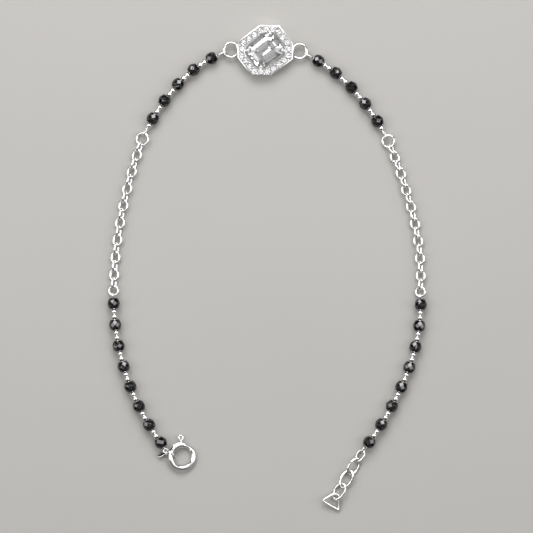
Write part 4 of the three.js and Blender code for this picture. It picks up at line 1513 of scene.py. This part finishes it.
def add_softbox(name, place, sides, watts):
    """Rectangular soft light at a place, turned to the middle of the floor."""
    light = bpy.data.lights.new(name, "AREA")
    light.shape = "RECTANGLE"
    light.size, light.size_y = sides
    light.energy = watts
    softbox = bpy.data.objects.new(name, light)
    softbox.location = place
    softbox.rotation_euler = (-Vector(place)).to_track_quat("-Z", "Y").to_euler()
    bpy.context.collection.objects.link(softbox)


def light_tent():
    """Dim grey tent: dark along the floor, with a paler patch straight overhead."""
    world = bpy.data.worlds.new("light_tent")
    world.use_nodes = True
    tree = world.node_tree
    tree.nodes.clear()
    direction = add_node(tree, "ShaderNodeTexCoord").outputs["Generated"]
    height = add_node(tree, "ShaderNodeSeparateXYZ", inputs={"Vector": direction}).outputs["Z"]
    ramp = add_node(tree, "ShaderNodeValToRGB", inputs={"Fac": height})
    elements = ramp.color_ramp.elements
    while len(elements) < len(TENT):
        elements.new(1.0)
    for element, (position, grey) in zip(elements, TENT):
        element.position = position
        element.color = (grey, grey, grey, 1.0)
    background = add_node(tree, "ShaderNodeBackground", inputs={
        "Color": ramp.outputs["Color"], "Strength": 1.0}).outputs["Background"]
    add_node(tree, "ShaderNodeOutputWorld", inputs={"Surface": background})
    return world


def add_camera(studio):
    """Camera straight above the middle of the picture."""
    camera = bpy.data.objects.new("camera", bpy.data.cameras.new("camera"))
    height = studio.camera_height * MM
    camera.location = (studio.view_x * MM, studio.view_y * MM, height)
    camera.data.lens = camera.data.sensor_width * studio.camera_height / studio.view_width
    camera.data.clip_start, camera.data.clip_end = height / 100, height * 10
    bpy.context.collection.objects.link(camera)
    bpy.context.scene.camera = camera


class BRACELET_OT_stage(Operator):
    """Lay the pale floor and set up the soft lights and the camera"""
    bl_idname = "bracelet.stage"
    bl_label = "Stage"

    def execute(self, context):
        settings = context.scene.bracelet
        half = settings.studio.floor / 2
        mesh = bpy.data.meshes.new("floor")
        level = CAD_BOX[0].z - FLOOR_GAP * MM
        corners = [
            (-half, -half, level), (half, -half, level), (half, half, level), (-half, half, level)]
        mesh.from_pydata(corners, [], [(0, 1, 2, 3)])
        mesh.materials.append(material_named("matt_card", floor_nodes, settings.colours.floor))
        floor = bpy.data.objects.new("floor", mesh)
        context.collection.objects.link(floor)
        for softbox in SOFTBOXES:
            add_softbox(*softbox)
        context.scene.world = light_tent()
        context.scene.view_settings.view_transform = "Standard"
        add_camera(millimetres(settings.studio))
        return {"FINISHED"}


# ---- panel and registration ----------------------------------------------------------------

OPERATORS = (
    BRACELET_OT_halo_setting, BRACELET_OT_pave_stones, BRACELET_OT_centre_stone,
    BRACELET_OT_black_beads, BRACELET_OT_strings, BRACELET_OT_chains, BRACELET_OT_chain_rings,
    BRACELET_OT_extension, BRACELET_OT_clasp, BRACELET_OT_jump_ring, BRACELET_OT_tag,
    BRACELET_OT_stage)

GROUPS = (
    HaloSizes, PaveSizes, StoneSizes, BeadSizes, StringSizes, ChainSizes, CourseHeadings,
    ExtensionSizes, ClaspSizes, FinishColours, StudioSizes, BraceletSettings)


class BRACELET_PT_pieces(Panel):
    """Pieces of the bracelet and their settings"""
    bl_label = "Bracelet"
    bl_idname = "BRACELET_PT_pieces"
    bl_space_type = "VIEW_3D"
    bl_region_type = "UI"
    bl_category = "Bracelet"

    def draw(self, context):
        for operator in OPERATORS:
            self.layout.operator(operator.bl_idname)
        settings = context.scene.bracelet
        for name in type(settings).__annotations__:
            box = self.layout.box()
            box.label(text=name.capitalize())
            group = getattr(settings, name)
            for value in type(group).__annotations__:
                box.prop(group, value)


CLASSES = (*GROUPS, *OPERATORS, BRACELET_PT_pieces)


def register():
    for kind in CLASSES:
        bpy.utils.register_class(kind)
    bpy.types.Scene.bracelet = PointerProperty(type=BraceletSettings)


def unregister():
    del bpy.types.Scene.bracelet
    for kind in reversed(CLASSES):
        bpy.utils.unregister_class(kind)


def main():
    register()
    bpy.ops.bracelet.halo_setting()
    bpy.ops.bracelet.pave_stones()
    bpy.ops.bracelet.centre_stone()
    bpy.ops.bracelet.black_beads()
    bpy.ops.bracelet.strings()
    bpy.ops.bracelet.chains()
    bpy.ops.bracelet.chain_rings()
    bpy.ops.bracelet.extension()
    bpy.ops.bracelet.clasp()
    bpy.ops.bracelet.jump_ring()
    bpy.ops.bracelet.tag()
    bpy.ops.bracelet.stage()


if __name__ == "__main__":
    main()
